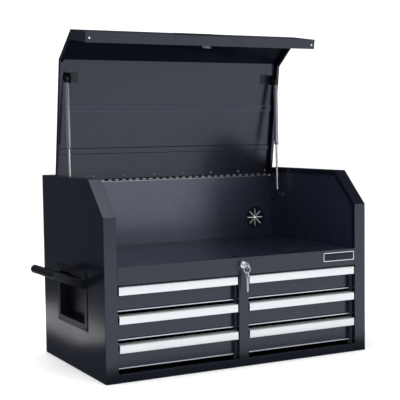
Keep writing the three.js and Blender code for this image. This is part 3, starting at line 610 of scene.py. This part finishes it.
@dataclass(frozen=True)
class OpenLid:
    """Where points of the lid are while it stands open, from places given with it shut."""

    angle: float = math.radians(81.5)

    def pin(self) -> tuple[float, float]:
        """The hinge pin's depth and height."""
        low, high = sized("hinge_pin")
        return (low[1] + high[1]) / 2, (low[2] + high[2]) / 2

    def at(self, u: Array | float, v: Array | float) -> tuple:
        """Depth and height of points u in front of the pin and v above it: a turn about the pin.

        Args:
            u: distance in front of the pin, lid shut.
            v: distance above the pin, lid shut.

        Returns:
            Depth and height, lid open.
        """
        (y, z), c, s = self.pin(), math.cos(self.angle), math.sin(self.angle)
        return y - u * c + v * s, z + u * s + v * c

    def inward(self) -> Array:
        """The way that the lid's inner face looks."""
        return np.array([0.0, -math.sin(self.angle), -math.cos(self.angle)])


@dataclass
class Drawers:
    """Six drawers: folded trays whose wider fronts have a rolled lower bend, and extruded pulls."""

    sheet: float = 1.0 * MM
    bend: float = 5.0 * MM
    hem: float = 1.6 * MM
    front_height: float = 74.2 * MM
    wall_height: float = 60.0 * MM
    overhang: float = 3.8 * MM
    bead_height: float = 9.0 * MM
    bead_rise: float = 1.5 * MM
    pull_wall: float = 2.2 * MM
    pull_lip: float = 9.0 * MM
    pull_hook: float = 16.0 * MM
    pull_round: float = 3.0 * MM

    def tray(self, node: str) -> Solid:
        """The tray: a strip folded up at the front and the rear, and two side walls with rolled hems.

        The strip's outline runs down the front's outside, round the bend, along the floor and up the
        rear, then back inside at one sheet's distance.

        Args:
            node: the CAD drawer box.

        Returns:
            The solid.
        """
        (x0, y0, z0), (x1, y1, _) = sized(node)
        top, wall, t = z0 + self.front_height, z0 + self.wall_height, self.sheet
        proud = y0 - self.bead_rise
        foot = [(y0, top), (y0, z0 + self.bead_height), (proud, z0 + self.bend), (proud, z0)]
        corners = [
            *foot, (y1, z0), (y1, wall), (y1 - t, wall), (y1 - t, z0 + t), (y0 + t, z0 + t), (y0 + t, top),
        ]
        small = 0.2 * MM
        foot_radii = [small, 2 * MM, 2 * MM, self.bend - 0.6 * MM]
        radii = foot_radii + [self.bend, small, small, self.bend - t, self.bend - t, small]
        strip = along_x(rounded(np.array(corners), radii, 7), x0, x1)
        side_outline = rounded(
            np.array([(y0 + t, wall), (y0 + t, z0), (y1 - t, z0), (y1 - t, wall)]),
            [small, self.bend, self.bend, small],
            7,
        )
        turn = steps_round(12)
        roll = np.stack([np.cos(turn), np.sin(turn)], 1) * self.hem
        ear = rounded(np.array(foot + [(y0 + t, z0), (y0 + t, top)]), foot_radii + [small, small], 7)
        parts = [strip, along_x(ear, x0 - self.overhang, x0), along_x(ear, x1, x1 + self.overhang)]
        for edge, way in ((x0, 1), (x1, -1)):
            parts.append(along_x(side_outline, min(edge, edge + way * t), max(edge, edge + way * t)))
            path = np.array([[edge + way * self.hem, y, wall] for y in (y0 + 2 * t, y1 - 2 * t)])
            parts.append(swept(roll, path, X_AXIS, Z_AXIS))
        return joined(parts)

    def edge(self, node: str) -> Solid:
        """A painted highlight: a thin bright strip along the front's rolled lower edge, in place of its
        glint.

        Args:
            node: the CAD drawer box.

        Returns:
            The solid.
        """
        (x0, y0, z0), (x1, _, _) = sized(node)
        proud = y0 - self.bead_rise - 0.2 * MM
        inside = proud + 1.0 * MM
        corners = [
            (proud, z0 + 1.9 * MM), (inside, z0 + 1.2 * MM), (inside, z0 + 5 * MM), (proud, z0 + 4.6 * MM),
        ]
        line = rounded(np.array(corners), 0.15 * MM, 3)
        return along_x(line, x0 - self.overhang, x1 + self.overhang)

    def pull(self, node: str) -> Solid:
        """The extrusion: a face with a lip turned back under it, a top web, and a hook behind the front.

        Args:
            node: the CAD pull.

        Returns:
            The solid.
        """
        (x0, y0, z0), (x1, y1, z1) = sized(node)
        w, lip, hook = self.pull_wall, y0 + self.pull_lip, z1 - self.pull_hook
        corners = [
            (y0, z1), (y0, z0), (lip, z0), (lip, z0 + w), (y0 + w, z0 + w),
            (y0 + w, z1 - w), (y1 - w, z1 - w), (y1 - w, hook), (y1, hook), (y1, z1),
        ]
        radii = [self.pull_round, 1.2 * MM] + [0.35 * MM] * 8
        return along_x(rounded(np.array(corners), radii, 6), x0, x1)

    def build(self) -> None:
        """Makes the trays and pulls of both columns."""
        for side in SIDES:
            for row in ROWS:
                body = f"{side}_{row}_drawer"
                tray = piece(body + "_tray", *self.tray(body + "_box"), DRAWER_PAINT, body, "drawer_paint")
                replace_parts(facing_out(tray), body + "_box")
                # The edge strip is a painted highlight: a bright finish in place of the glint of the drawer
                # paint's rolled edge.
                edge = self.edge(body + "_box")
                facing_out(piece(body + "_edge", *edge, PAINTED_EDGE_HIGHLIGHT, body, "drawer_paint"))
                bar = self.pull(body + "_pull")
                pull = piece(body + "_extrusion", *bar, PULL_METAL, body, "pull_aluminium")
                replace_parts(soften(facing_out(pull), 0.5 * MM, 2), body + "_pull")
        LOG.info("drawers: 6 trays, 6 pulls")


@dataclass
class Hinge:
    """A continuous hinge: rolled knuckles in turn on the case leaf and the lid leaf, and the leaf screws."""

    pitch: float = 12.7 * MM
    # Height of the bright strip on the case leaf's top edge, a painted highlight.
    painted_highlight_strip: float = 1.8 * MM
    gap: float = 0.3 * MM
    radius: float = 4.0 * MM
    bore: float = 2.15 * MM
    leaf: float = 1.2 * MM
    screw_pitch: float = 111.7 * MM
    screws: int = 8
    screw_reach: float = 14.0 * MM
    level: float = 4.5 * MM  # the lid leaf's outer face above the pin
    knuckle_reach: float = 4.3 * MM
    leaf_reach: float = 22.0 * MM

    def knuckles(self, first: int, count: int, y: float, z: float, start: float) -> list[Solid]:
        """Every second knuckle, each a tube with rounded ends.

        Args:
            first: 0 or 1.
            count: knuckles in the whole hinge.
            y: the pin's depth.
            z: the pin's height.
            start: the hinge's left end.

        Returns:
            The tubes.
        """
        outline = rounded(rectangle(self.bore, 0, self.radius, self.pitch - 2 * self.gap), 0.35 * MM, 4)
        return [
            ring(outline, (start + i * self.pitch + self.gap, y, z), (1.0, 0.0, 0.0), 24)
            for i in range(first, count, 2)
        ]

    def build(self) -> None:
        """Makes both leaves and their screws."""
        lid = OpenLid()
        y, z = lid.pin()
        low, high = sized("hinge_pin")
        start, end, t = low[0], high[0], self.leaf
        count = round((end - start) / self.pitch)
        back, edge = y + 3.0 * MM, z - self.radius

        def strip(bottom: float, top: float, x0: float, x1: float) -> Solid:
            """One flat strip of the case leaf between two heights."""
            corners = [(back, bottom), (back, top), (back - t, top), (back - t, bottom)]
            return along_x(np.array(corners), x0, x1)

        def plate(near: float, far: float, x0: float, x1: float) -> Solid:
            """One flat strip of the lid leaf, from near to far off the pin and from x0 to x1."""
            top, under = self.level, self.level - t
            corners = [lid.at(near, top), lid.at(far, top), lid.at(far, under), lid.at(near, under)]
            return along_x(np.array(corners), x0, x1)

        def tabs(first: int) -> list[tuple[float, float]]:
            """The two ends of every second knuckle."""
            starts = [start + i * self.pitch + self.gap for i in range(first, count, 2)]
            return [(x, x + self.pitch - 2 * self.gap) for x in starts]

        # The bright strip along the case leaf's top edge is a painted highlight; below it the leaf is in the
        # dark inner paint.
        bright = self.knuckles(0, count, y, z, start) + [strip(edge - self.painted_highlight_strip, edge, start, end)]
        bright += [strip(edge, z, *ends) for ends in tabs(0)]
        fixed = piece("hinge_case_knuckles", *joined(bright), HINGE_STEEL, "cabinet", "hinge_steel")
        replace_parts(facing_out(fixed), "hinge_cabinet_leaf")
        flat = strip(sized("hinge_cabinet_leaf")[0][2], edge - self.painted_highlight_strip, start, end)
        facing_out(piece("hinge_case_leaf", *flat, INNER_PAINT, "cabinet", "hinge_steel"))
        rolled = self.knuckles(1, count, y, z, start)
        rolled.append(plate(self.knuckle_reach, self.leaf_reach, start, end))
        rolled += [plate(0, self.knuckle_reach, *ends) for ends in tabs(1)]
        moving = piece("hinge_lid_leaf_rolled", *joined(rolled), CASE_PAINT, "lid", "hinge_steel")
        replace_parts(facing_out(moving), "hinge_lid_leaf")
        depth, height = lid.at(self.screw_reach, self.level - t)
        places = [(i - (self.screws - 1) / 2) * self.screw_pitch for i in range(self.screws)]
        heads = [cross_screw((x, depth, height), lid.inward()) for x in places]
        piece("hinge_leaf_screws", *joined(heads), ZINC, "lid", "slide_zinc")
        LOG.info("hinge: %d knuckles, %d screws", count, self.screws)


@dataclass
class Struts:
    """Two gas struts: a lacquered tube with a rolled end and a black eye, and a chromed rod with its own."""

    tube: float = 7.5 * MM
    rod: float = 4.0 * MM
    eye: float = 7.0 * MM
    eye_bore: float = 3.3 * MM
    eye_half: float = 5.0 * MM
    inset: float = 64.0 * MM
    half_width: float = 457.0 * MM
    top: tuple[float, float] = (179.543 * MM, 895.981 * MM)  # depth and height of the upper stud
    foot: tuple[float, float] = (171.0 * MM, 491.5 * MM)  # and of the lower one
    tube_start: float = 14.0 * MM
    tube_end: float = 227.09 * MM
    overlap: float = 22.0 * MM
    rod_stop: float = 14.0 * MM  # from the rod's end to the lower stud
    bore: float = 4.5 * MM

    def eye_ring(self, centre: Array) -> Solid:
        """An end fitting's eye, bored for its stud."""
        outline = rounded(rectangle(self.eye_bore, -self.eye_half, self.eye, self.eye_half), 0.9 * MM, 4)
        return ring(outline, centre, X_AXIS, 32)

    def build(self) -> None:
        """Makes both struts."""
        t, low, high = self.tube, self.tube_start, self.tube_end
        barrel = np.array([
            (self.bore, low), (t - 2.2 * MM, low), (t - 0.5 * MM, low + 1.0 * MM), (t, low + 3.0 * MM),
            (t, high - 9 * MM), (t - 0.5 * MM, high - 8 * MM), (t - 0.5 * MM, high - 6 * MM),
            (t, high - 5 * MM), (t, high - 2.0 * MM), (t - 1.4 * MM, high - 0.4 * MM),
            (self.rod + 1.0 * MM, high), (self.bore, high),
        ])
        neck = np.array([(0, 5), (4.4, 5), (4.4, 9), (5.6, 10), (5.6, 13.4), (0, 14.2)]) * MM
        cup = np.array([(0, -18), (4.6, -18), (5.6, -17), (5.6, -13), (4.3, -12), (4.3, -6), (0, -6)]) * MM
        for side, sign in SIDES.items():
            x = sign * (self.half_width - self.inset)
            top, foot = np.array([x, *self.top]), np.array([x, *self.foot])
            length = np.linalg.norm(foot - top)
            down = (foot - top) / length
            body = f"{side}_strut_cylinder"
            tube = piece(body + "_tube", *ring(barrel, top, down, 48), TUBE_LACQUER, body, "strut_tube")
            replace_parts(facing_out(tube), body)
            fitting = joined([self.eye_ring(top), turned(neck, top, down, 32)])
            piece(body + "_end_fitting", *fitting, CUP_PLASTIC, body, "cup_plastic")
            body = f"{side}_strut_rod"
            end = length - high + self.overlap - self.rod_stop
            shaft = turned(rectangle(0, 0, self.rod, end), top + down * (high - self.overlap), down, 32)
            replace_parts(piece(body + "_shaft", *shaft, ROD_CHROME, body, "strut_rod"), body)
            socket = joined([self.eye_ring(foot), turned(cup, foot, down, 32)])
            facing_out(piece(body + "_socket", *socket, CUP_PLASTIC, body, "cup_plastic"))
        LOG.info("struts: 2 tubes, 2 rods, 4 fittings")


@dataclass
class Handles:
    """Two fold-out handles: pressed arms with round ends, and a ribbed vinyl grip on the bar."""

    arm_half: float = 13.0 * MM
    arm_sheet: float = 4.0 * MM
    reach: float = 97.0 * MM
    half_span: float = 102.5 * MM
    lift: float = math.radians(20.5)
    pivot: tuple[float, float, float] = (450.0 * MM, 3.0 * MM, 266.0 * MM)
    grip: float = 12.5 * MM
    groove: float = 0.55 * MM
    flare: float = 0.3 * MM
    ribs: int = 34
    screw_inset: float = 9.0 * MM

    def arm(self, sign: int, end: int) -> Solid:
        """One arm: a slot-shaped plate from the pivot to the bar.

        Its outline is two half circles joined by straight edges, carried along Y.

        Args:
            sign: which side of the chest.
            end: front or rear, -1 or 1.

        Returns:
            The solid.
        """
        out = np.array([sign * math.cos(self.lift), math.sin(self.lift)])
        over = np.array([-out[1], out[0]])
        turn = np.linspace(np.pi / 2, 3 * np.pi / 2, 20)
        near = np.cos(turn)[:, None] * out + np.sin(turn)[:, None] * over
        far = -near
        ends = np.concatenate([near * self.arm_half, out * self.reach + far * self.arm_half])
        y = self.pivot[1] + end * np.array([self.half_span - self.arm_sheet, self.half_span])
        path = np.array([[sign * self.pivot[0], v, self.pivot[2]] for v in y])
        return swept(ends, path, X_AXIS, Z_AXIS)

    def sleeve(self, sign: int) -> Solid:
        """The grip: a turned sleeve with fine ribs and a flared collar at each end.

        Radius = grip less a small groove whose depth follows the square of a cosine along the grip.

        Args:
            sign: which side of the chest.

        Returns:
            The solid.
        """
        half = self.half_span - self.arm_sheet - 0.4 * MM
        t = np.linspace(-1, 1, self.ribs * 6 + 1)
        groove = self.groove * np.cos(t * self.ribs * np.pi / 2) ** 2
        radius = self.grip - self.flare - groove * (np.abs(t) < 0.9)
        collar = self.flare * (np.abs(t) > 0.93)
        body = np.stack([radius + collar, t * half], 1)
        edge = self.grip - 1.5 * MM
        outline = np.concatenate([[[0, -half], [edge, -half]], body[1:-1], [[edge, half], [0, half]]])
        centre = (
            sign * (self.pivot[0] + self.reach * math.cos(self.lift)),
            self.pivot[1],
            self.pivot[2] + self.reach * math.sin(self.lift),
        )
        return turned(outline, centre, Y_AXIS, 48)

    def build(self) -> None:
        """Makes both handles and the screws of their dishes."""
        for side, sign in SIDES.items():
            body = f"{side}_handle"
            pair = joined([self.arm(sign, -1), self.arm(sign, 1)])
            arms = piece(body + "_arms", *pair, BLACK_STEEL, body, "black_steel")
            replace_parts(soften(facing_out(arms), 1.0 * MM), body + "_bail")
            piece(body + "_grip", *self.sleeve(sign), VINYL, body, "handle_grip")
            low, high = sized(f"{side}_handle_recess")
            low[1:] += self.screw_inset
            high[1:] -= self.screw_inset
            face = (high[0] if sign > 0 else low[0]) - sign * 0.3 * MM
            spots = [(face, y, z) for y in (low[1], high[1]) for z in (low[2], high[2])]
            heads = [cross_screw(spot, (sign, 0, 0), 3.6 * MM, 1.8 * MM) for spot in spots]
            piece(f"{side}_recess_screws", *joined(heads), BLACK_STEEL, "cabinet", "black_steel")
        LOG.info("handles: 2 grips, 4 arms")


@dataclass
class Trim:
    """Small pieces: the grommet, the nameplate, the lid's rib beads and its bumpers.

    Places on the lid are distances in front of the hinge pin and above it, with the lid shut.
    """

    petals: int = 8
    slit: float = 0.5 * MM
    membrane: float = 0.8 * MM
    plate_size: tuple[float, float] = (118.0 * MM, 28.0 * MM)
    plate_place: tuple[float, float] = (353.6 * MM, 314.0 * MM)
    plate_thick: float = 0.9 * MM
    rim: float = 2.2 * MM
    rib_half: float = 9.2 * MM
    rib_end: float = 396.0 * MM
    rib_face: float = 2.35 * MM
    rib_places: tuple[float, float] = (242.0 * MM, 100.0 * MM)
    bead: float = 0.9 * MM
    bumper_place: tuple[float, float] = (484.0 * MM, -222.0 * MM)
    bumper_half_span: float = 401.0 * MM

    def grommet(self) -> None:
        """The rubber ring in the back panel, and its membrane cut into petals.

        A petal is a polar grid between two slits: its angle runs from half a slit past one cut to half a
        slit before the next, and its tip sags a little to the rear.
        """
        low, high = sized("cable_grommet")
        x, z = (low[0] + high[0]) / 2, (low[2] + high[2]) / 2
        front, rear, outer = low[1], high[1], (high[0] - low[0]) / 2
        y = (front + rear) / 2 + 0.4 * MM
        corners = [
            (32.0 * MM, y - 1.2 * MM), (33.5 * MM, front), (outer, front), (outer, front + 2.4 * MM),
            (32.9 * MM, front + 2.5 * MM), (32.9 * MM, rear - 1.3 * MM), (outer - 2 * MM, rear - 1.3 * MM),
            (outer - 2 * MM, rear), (32.4 * MM, rear), (32.0 * MM, y + 1.2 * MM),
        ]
        loop = rounded(np.array(corners), 0.45 * MM, 4)
        rim = piece("grommet_ring", *ring(loop, (x, 0, z), Y_AXIS, 64), RUBBER, "cabinet", "rubber")
        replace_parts(facing_out(rim), "cable_grommet")
        leaves = []
        radii, share = np.linspace(2.6 * MM, 32.2 * MM, 9), np.linspace(0, 1, 8)
        part, back_off = 2 * np.pi / self.petals, self.slit / radii[:, None]
        for k in range(self.petals):
            angle = k * part + back_off + share[None] * (part - 2 * back_off)
            sag = 1.2 * MM * ((radii[-1] - radii) / radii[-1])[:, None] ** 2
            px = x + radii[:, None] * np.cos(angle)
            pz = z + radii[:, None] * np.sin(angle)
            face = np.stack([px, y - self.membrane / 2 + sag + 0 * px, pz], -1)
            back = face + np.array([0, self.membrane, 0])
            points = np.concatenate([face.reshape(-1, 3), back.reshape(-1, 3)])
            n, m = len(radii), len(share)
            quads = grid_faces(n, m, close_columns=False)
            rear_quads = quads[:, ::-1] + n * m
            inner, outer_arc = np.arange(m), (n - 1) * m + np.arange(m - 2, -1, -1)
            far, near = np.arange(1, n) * m + m - 1, np.arange(n - 2, 0, -1) * m
            edge = np.concatenate([inner, far, outer_arc, near])
            nxt = np.roll(edge, -1)
            walls = np.stack([nxt, edge, edge + n * m, nxt + n * m], -1)
            leaves.append((points, np.concatenate([quads, rear_quads, walls]).tolist()))
        facing_out(piece("grommet_petals", *joined(leaves), RUBBER, "cabinet", "rubber"))

    def nameplate(self) -> None:
        """A blank nameplate on the fascia: a bright raised rim round a dark sunk field."""
        face = sized("fascia_rail")[0][1]
        (w, h), (x, z) = self.plate_size, self.plate_place
        outline = rounded(rectangle(-w / 2, -h / 2, w / 2, h / 2), 3.0 * MM, 7)
        inner = outline * (1 - 2 * self.rim / np.array([w, h]))

        def loops(steps: list[tuple[Array, float]]) -> Solid:
            """Closed loops of offsets in X and Z, each some way in front of the fascia, joined in turn."""
            rows = [np.stack([x + o[:, 0], np.full(len(o), face - d), z + o[:, 1]], 1) for o, d in steps]
            return np.concatenate(rows), capped_faces(len(rows), len(outline))

        high, sunk = self.plate_thick, 0.35 * MM
        rim = loops([(outline, 0.0), (outline, high), (inner, high), (inner, sunk)])
        plate = facing_out(piece("nameplate_rim", *rim, PLATE_RIM, "cabinet", "pull_aluminium"))
        soften(plate, 0.3 * MM, 2)
        field = loops([(inner, 0.36 * MM), (inner * 0.985, 0.5 * MM)])
        facing_out(piece("nameplate_field", *field, PLATE_FIELD, "cabinet", "cup_plastic"))

    def rib_beads(self) -> None:
        """A fine half-round bead along both edges of the lid's two pressed ribs.

        The bead's outline is half a circle standing on the rib's face, carried along X. The upper rib's beads
        are a painted highlight, bright zinc on what is the lid's paint; the lower rib's are in black steel.
        """
        half, lid = np.linspace(0, np.pi, 9), OpenLid()
        # The upper beads' bright finish is a painted highlight on the lid's paint; the lower beads are in
        # black steel.
        for name, place, finish in zip(("upper", "lower"), self.rib_places, (ZINC_AND_RIB_HIGHLIGHT, BLACK_STEEL)):
            parts = []
            for u in (place - self.rib_half, place + self.rib_half):
                along, down = u + self.bead * np.cos(half), self.rib_face - self.bead * np.sin(half)
                outline = np.stack(lid.at(along, down), 1)
                parts.append(along_x(outline, -self.rib_end, self.rib_end))
            facing_out(piece(f"lid_{name}_rib_beads", *joined(parts), finish, "lid", "case_paint"))

    def bumpers(self) -> None:
        """Bright-capped bumpers on the lid's front lip, which meet the deck when the lid is shut."""
        lid = OpenLid()
        depth, height = lid.at(*self.bumper_place)
        spots = [(x, depth, height) for x in (-self.bumper_half_span, self.bumper_half_span)]
        heads = [turned(dome(4.0 * MM, 1.8 * MM), spot, lid.inward(), 28) for spot in spots]
        piece("lid_bumpers", *joined(heads), PLATE_RIM, "lid", "pull_aluminium")

    def build(self) -> None:
        """Makes all the trim."""
        self.grommet()
        self.nameplate()
        self.rib_beads()
        self.bumpers()
        LOG.info("trim: grommet, nameplate, rib beads, bumpers")


@dataclass
class Lock:
    """The key lock: a stepped chrome bezel, the key in its slot, and the spare key on the ring."""

    thick: float = 2.0 * MM
    bow: float = 11.0 * MM
    out: float = 22.0 * MM  # from the fascia to the middle of the key's bow
    rise: float = 313.0 * MM
    ring_radius: float = 11.2 * MM
    wire: float = 0.8 * MM
    shank_half: float = 4.5 * MM
    shank_gap: float = 1.2 * MM
    spare_bow: float = 10.0 * MM
    spare_drop: float = 5.5 * MM  # the spare bow's middle below its hole
    spare_half: float = 4.0 * MM
    spare_length: float = 58.0 * MM
    face: float = -258.0 * MM
    steps: int = 240

    def plate(self, centre: Array, reach: Array, hole: float) -> Solid:
        """A flat key in the YZ plane with a round hole.

        The outline and the hole are both taken at the same even steps round the hole's centre, so the
        two faces are rings of quads.

        Args:
            centre: depth and height of the hole's middle.
            reach: the outline's distance from it at each step.
            hole: the hole's radius.

        Returns:
            The solid.
        """
        edge, bore, half = centre + self.ways() * reach[:, None], centre + self.ways() * hole, self.thick / 2
        loops = [(edge, -half), (edge, half), (bore, half), (bore, -half)]
        points = np.stack([np.stack([np.full(len(o), x), o[:, 0], o[:, 1]], 1) for o, x in loops])
        return points.reshape(-1, 3), grid_faces(*points.shape[:2], close_rows=True).tolist()

    def ways(self) -> Array:
        """Even directions round a full turn, as depth and height."""
        turn = steps_round(self.steps)
        return np.stack([np.cos(turn), np.sin(turn)], 1)

    def shell(self) -> Solid:
        """The stepped bezel on the fascia and the barrel behind it.

        Returns:
            The solid.
        """
        bezel = np.array([
            (6.3, 0.4), (11, 0.4), (11, 1.4), (10.4, 2.2), (9.2, 2.8), (8.6, 2.6), (8.2, 2.0), (6.9, 1.9),
            (6.3, 2.2),
        ]) * MM
        barrel = np.array([(6.3, 0.5), (9.3, 0.5), (9.3, -33.8), (6.3, -33.8)]) * MM
        place = (0, self.face, self.rise)
        return joined([ring(bezel, place, -Y_AXIS, 48), ring(barrel, place, -Y_AXIS, 36)])

    def key(self) -> Solid:
        """The key in the lock, with the plug, the cam and the cam's peg that turn with it.

        Round the hole the outline is the bow's circle, or the straight shank where that reaches further.

        Returns:
            The solid.
        """
        f, z, way = self.face, self.rise, self.ways()
        along = (self.out - self.shank_gap) / np.maximum(way[:, 0], 0.3)
        blade = np.minimum(along, self.shank_half / np.maximum(np.abs(way[:, 1]), 0.05))
        reach = np.where(way[:, 0] > 0, np.maximum(blade, self.bow), self.bow)
        blank = self.plate(np.array([f - self.out, z]), reach, 3.5 * MM)
        plug_line = np.array([(0, 0), (6.0, 0), (6.0, 34.8), (5.2, 36.2), (0, 36.2)]) * MM
        plug = turned(plug_line, (0, f - 1.6 * MM, z), Y_AXIS, 36)
        cam_y = f + 34.3 * MM
        cam_line = rounded(rectangle(cam_y, z - 3 * MM, cam_y + 2 * MM, z + 3 * MM), 0.3 * MM, 3)
        peg_line = np.array([(0, 0), (2.5, 0), (2.5, 13.5), (2.0, 14.2), (0, 14.2)]) * MM
        peg = turned(peg_line, (12.5 * MM, cam_y, z), Y_AXIS, 24)
        return joined([blank, plug, along_x(cam_line, -3.0 * MM, 15.0 * MM), peg])

    def spare(self, hang: float) -> Solid:
        """The spare key: a bow hung by its hole, and a blade below it.

        The bow's circle is off the hole's middle by spare_drop, so a step's reach to it solves
        reach^2 - 2 reach b + drop^2 - radius^2 = 0, where b is the way's share of the drop.

        Args:
            hang: the height that its hole hangs at.

        Returns:
            The solid.
        """
        way = self.ways()
        b = way[:, 1] * -self.spare_drop
        reach = b + np.sqrt(np.maximum(b**2 - self.spare_drop**2 + self.spare_bow**2, 0))
        low = (np.abs(way[:, 0]) < 0.25) & (way[:, 1] < 0)
        end = self.spare_length / np.maximum(-way[:, 1], 0.2)
        side = self.spare_half / np.maximum(np.abs(way[:, 0]), 0.07)
        reach = np.where(low, np.minimum(end, side), reach)
        return self.plate(np.array([self.face - self.out, hang]), reach, 3.0 * MM)

    def build(self) -> None:
        """Makes the bezel, both keys and the ring."""
        cylinder = piece("lock_bezel", *self.shell(), LOCK_CHROME, "cabinet", "chrome")
        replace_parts(facing_out(cylinder), "lock_cylinder")
        key = piece("key_with_plug", *self.key(), LOCK_CHROME, "key", "chrome")
        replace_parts(soften(facing_out(key), 0.3 * MM, 2), "key_in_lock")
        loop = (self.ways() * self.wire + [self.ring_radius, 0.0])[::15]
        place = (0, self.face - self.out, self.rise - self.ring_radius)
        wire = piece("key_ring_wire", *ring(loop, place, Y_AXIS, 64), LOCK_CHROME, "key_ring", "chrome")
        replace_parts(facing_out(wire), "key_ring")
        hanging = self.spare(self.rise - 2 * self.ring_radius)
        spare = piece("spare_key_blade", *hanging, LOCK_CHROME, "spare_key", "chrome")
        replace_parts(soften(facing_out(spare), 0.3 * MM, 2), "spare_key")
        LOG.info("lock: bezel, key, ring, spare key")


# ---- Studio ----


@dataclass
class Studio:
    """A pale seamless floor, soft lights and the camera."""

    eye: tuple[float, float, float] = (-1.537, -2.9034, 0.7246)
    turn: float = 0.4839  # to the right of straight ahead, radians
    dip: float = 0.0692  # below the horizon
    roll: float = -0.0133
    lens: float = 90.918  # millimetres
    near_floor: tuple[float, float, float, float] = (-0.62, 4.5, -5.0, -0.42)  # left, right, front, rear
    side_floor: tuple[float, float, float, float] = (-0.76, -0.6, 0.3, 1.2)
    step_down: float = 1 * MM
    floor_half: float = 14.0

    def camera(self) -> None:
        """Sets the camera from its place and its three angles."""
        flat = math.cos(self.dip)
        ahead = Vector((math.sin(self.turn) * flat, math.cos(self.turn) * flat, -math.sin(self.dip)))
        level = Vector((math.cos(self.turn), -math.sin(self.turn), 0.0))
        above = level.cross(ahead)
        right = level * math.cos(self.roll) + above * math.sin(self.roll)
        up = above * math.cos(self.roll) - level * math.sin(self.roll)
        lens = bpy.data.cameras.new("camera")
        lens.lens = self.lens
        lens.sensor_width = 36.0
        lens.clip_end = 60.0
        made = bpy.data.objects.new("camera", lens)
        turned_to = Matrix((right, up, -ahead)).transposed().to_4x4()
        made.matrix_world = Matrix.Translation(self.eye) @ turned_to
        bpy.context.scene.collection.objects.link(made)
        bpy.context.scene.camera = made

    def sheet(self, name: str, line: Array, across: tuple[float, float], mirrored: bool) -> None:
        """Lays one sheet of paper: a line of depth and height carried across the room.

        Args:
            name: its name.
            line: n by 2, depth and height.
            across: its left and right edges.
            mirrored: whether it shows in the chest's glossy paint.
        """
        points = np.empty((len(line), 2, 3))
        points[..., 0] = np.array(across)[None]
        points[..., 1] = line[:, :1]
        points[..., 2] = line[:, 1:]
        mesh = bpy.data.meshes.new(name)
        faces = grid_faces(len(line), 2, close_columns=False)
        mesh.from_pydata(points.reshape(-1, 3).tolist(), [], faces.tolist())
        mesh.polygons.foreach_set("use_smooth", np.ones(len(mesh.polygons), bool))
        mesh.materials.append(PAPER.material())
        made = bpy.data.objects.new(name, mesh)
        bpy.context.scene.collection.objects.link(made)
        made.visible_glossy = mirrored
        made.visible_camera = not mirrored
        made.visible_diffuse = not mirrored
        made.visible_shadow = not mirrored

    def paper(self) -> None:
        """The floor that the gloss paint mirrors, and the wide level paper that is in view."""
        for name, (left, right, front, rear) in (
            ("studio_floor", self.near_floor), ("studio_side_floor", self.side_floor),
        ):
            self.sheet(name, np.array([[front, 0.0], [rear, 0.0]]), (left, right), True)
        line = np.array([[-self.floor_half, 0.0], [self.floor_half, 0.0]]) - [0.0, self.step_down]
        self.sheet("studio_paper", line, (-self.floor_half, self.floor_half), False)

    def lamp(self, name: str, place: Vector, target: Vector, size: tuple[float, float], watts: float) -> None:
        """Adds a rectangular soft light that faces a point.

        Args:
            name: the light's name.
            place: its middle.
            target: what it faces.
            size: width and height.
            watts: its power.
        """
        light = bpy.data.lights.new(name, "AREA")
        light.shape = "RECTANGLE"
        light.size, light.size_y = size
        light.energy = watts
        made = bpy.data.objects.new(name, light)
        made.location = place
        made.rotation_mode = "QUATERNION"
        made.rotation_quaternion = (target - place).to_track_quat("-Z", "Y")
        bpy.context.scene.collection.objects.link(made)

    def build(self) -> None:
        """Makes the camera, the paper, the lights and the even light of the room."""
        self.camera()
        self.paper()
        middle = Vector((0.0, 0.0, 0.45))
        self.lamp("overhead_softbox", Vector((-0.45, -0.35, 3.4)), middle, (3.0, 2.2), 62.0)
        self.lamp("front_softbox", Vector((2.45, -4.0, 1.35)), middle, (4.0, 2.6), 35.0)
        self.lamp("low_fill", Vector((-0.7, -4.6, 0.6)), middle, (1.2, 0.8), 9.0)
        self.room()
        LOG.info("studio ready")

    def room(self) -> None:
        """Even light from all round, with the dim walls of a real studio showing in glossy paint."""
        world = bpy.data.worlds.new("room")
        world.use_nodes = True
        tree = world.node_tree
        tree.nodes.clear()
        even = add(tree, "ShaderNodeBackground", {"Color": linear(0xF7F8F9), "Strength": 1.34})
        dim = add(tree, "ShaderNodeBackground", {"Color": linear(0xC9D2E6), "Strength": 0.12})
        ray = add(tree, "ShaderNodeLightPath")
        seen = add(
            tree,
            "ShaderNodeMixShader",
            {0: ray.outputs["Is Glossy Ray"], 1: even.outputs["Background"], 2: dim.outputs["Background"]},
        )
        add(tree, "ShaderNodeOutputWorld", {"Surface": seen.outputs["Shader"]})
        bpy.context.scene.world = world
        bpy.context.scene.view_settings.view_transform = "Standard"


def main() -> None:
    """Builds the studio, dresses the frame and adds the finer pieces."""
    logging.basicConfig(level=logging.INFO, format="%(name)s: %(message)s")
    Studio().build()
    Dressing().build()
    Drawers().build()
    Hinge().build()
    Struts().build()
    Handles().build()
    Trim().build()
    Lock().build()


if __name__ == "__main__":
    main()
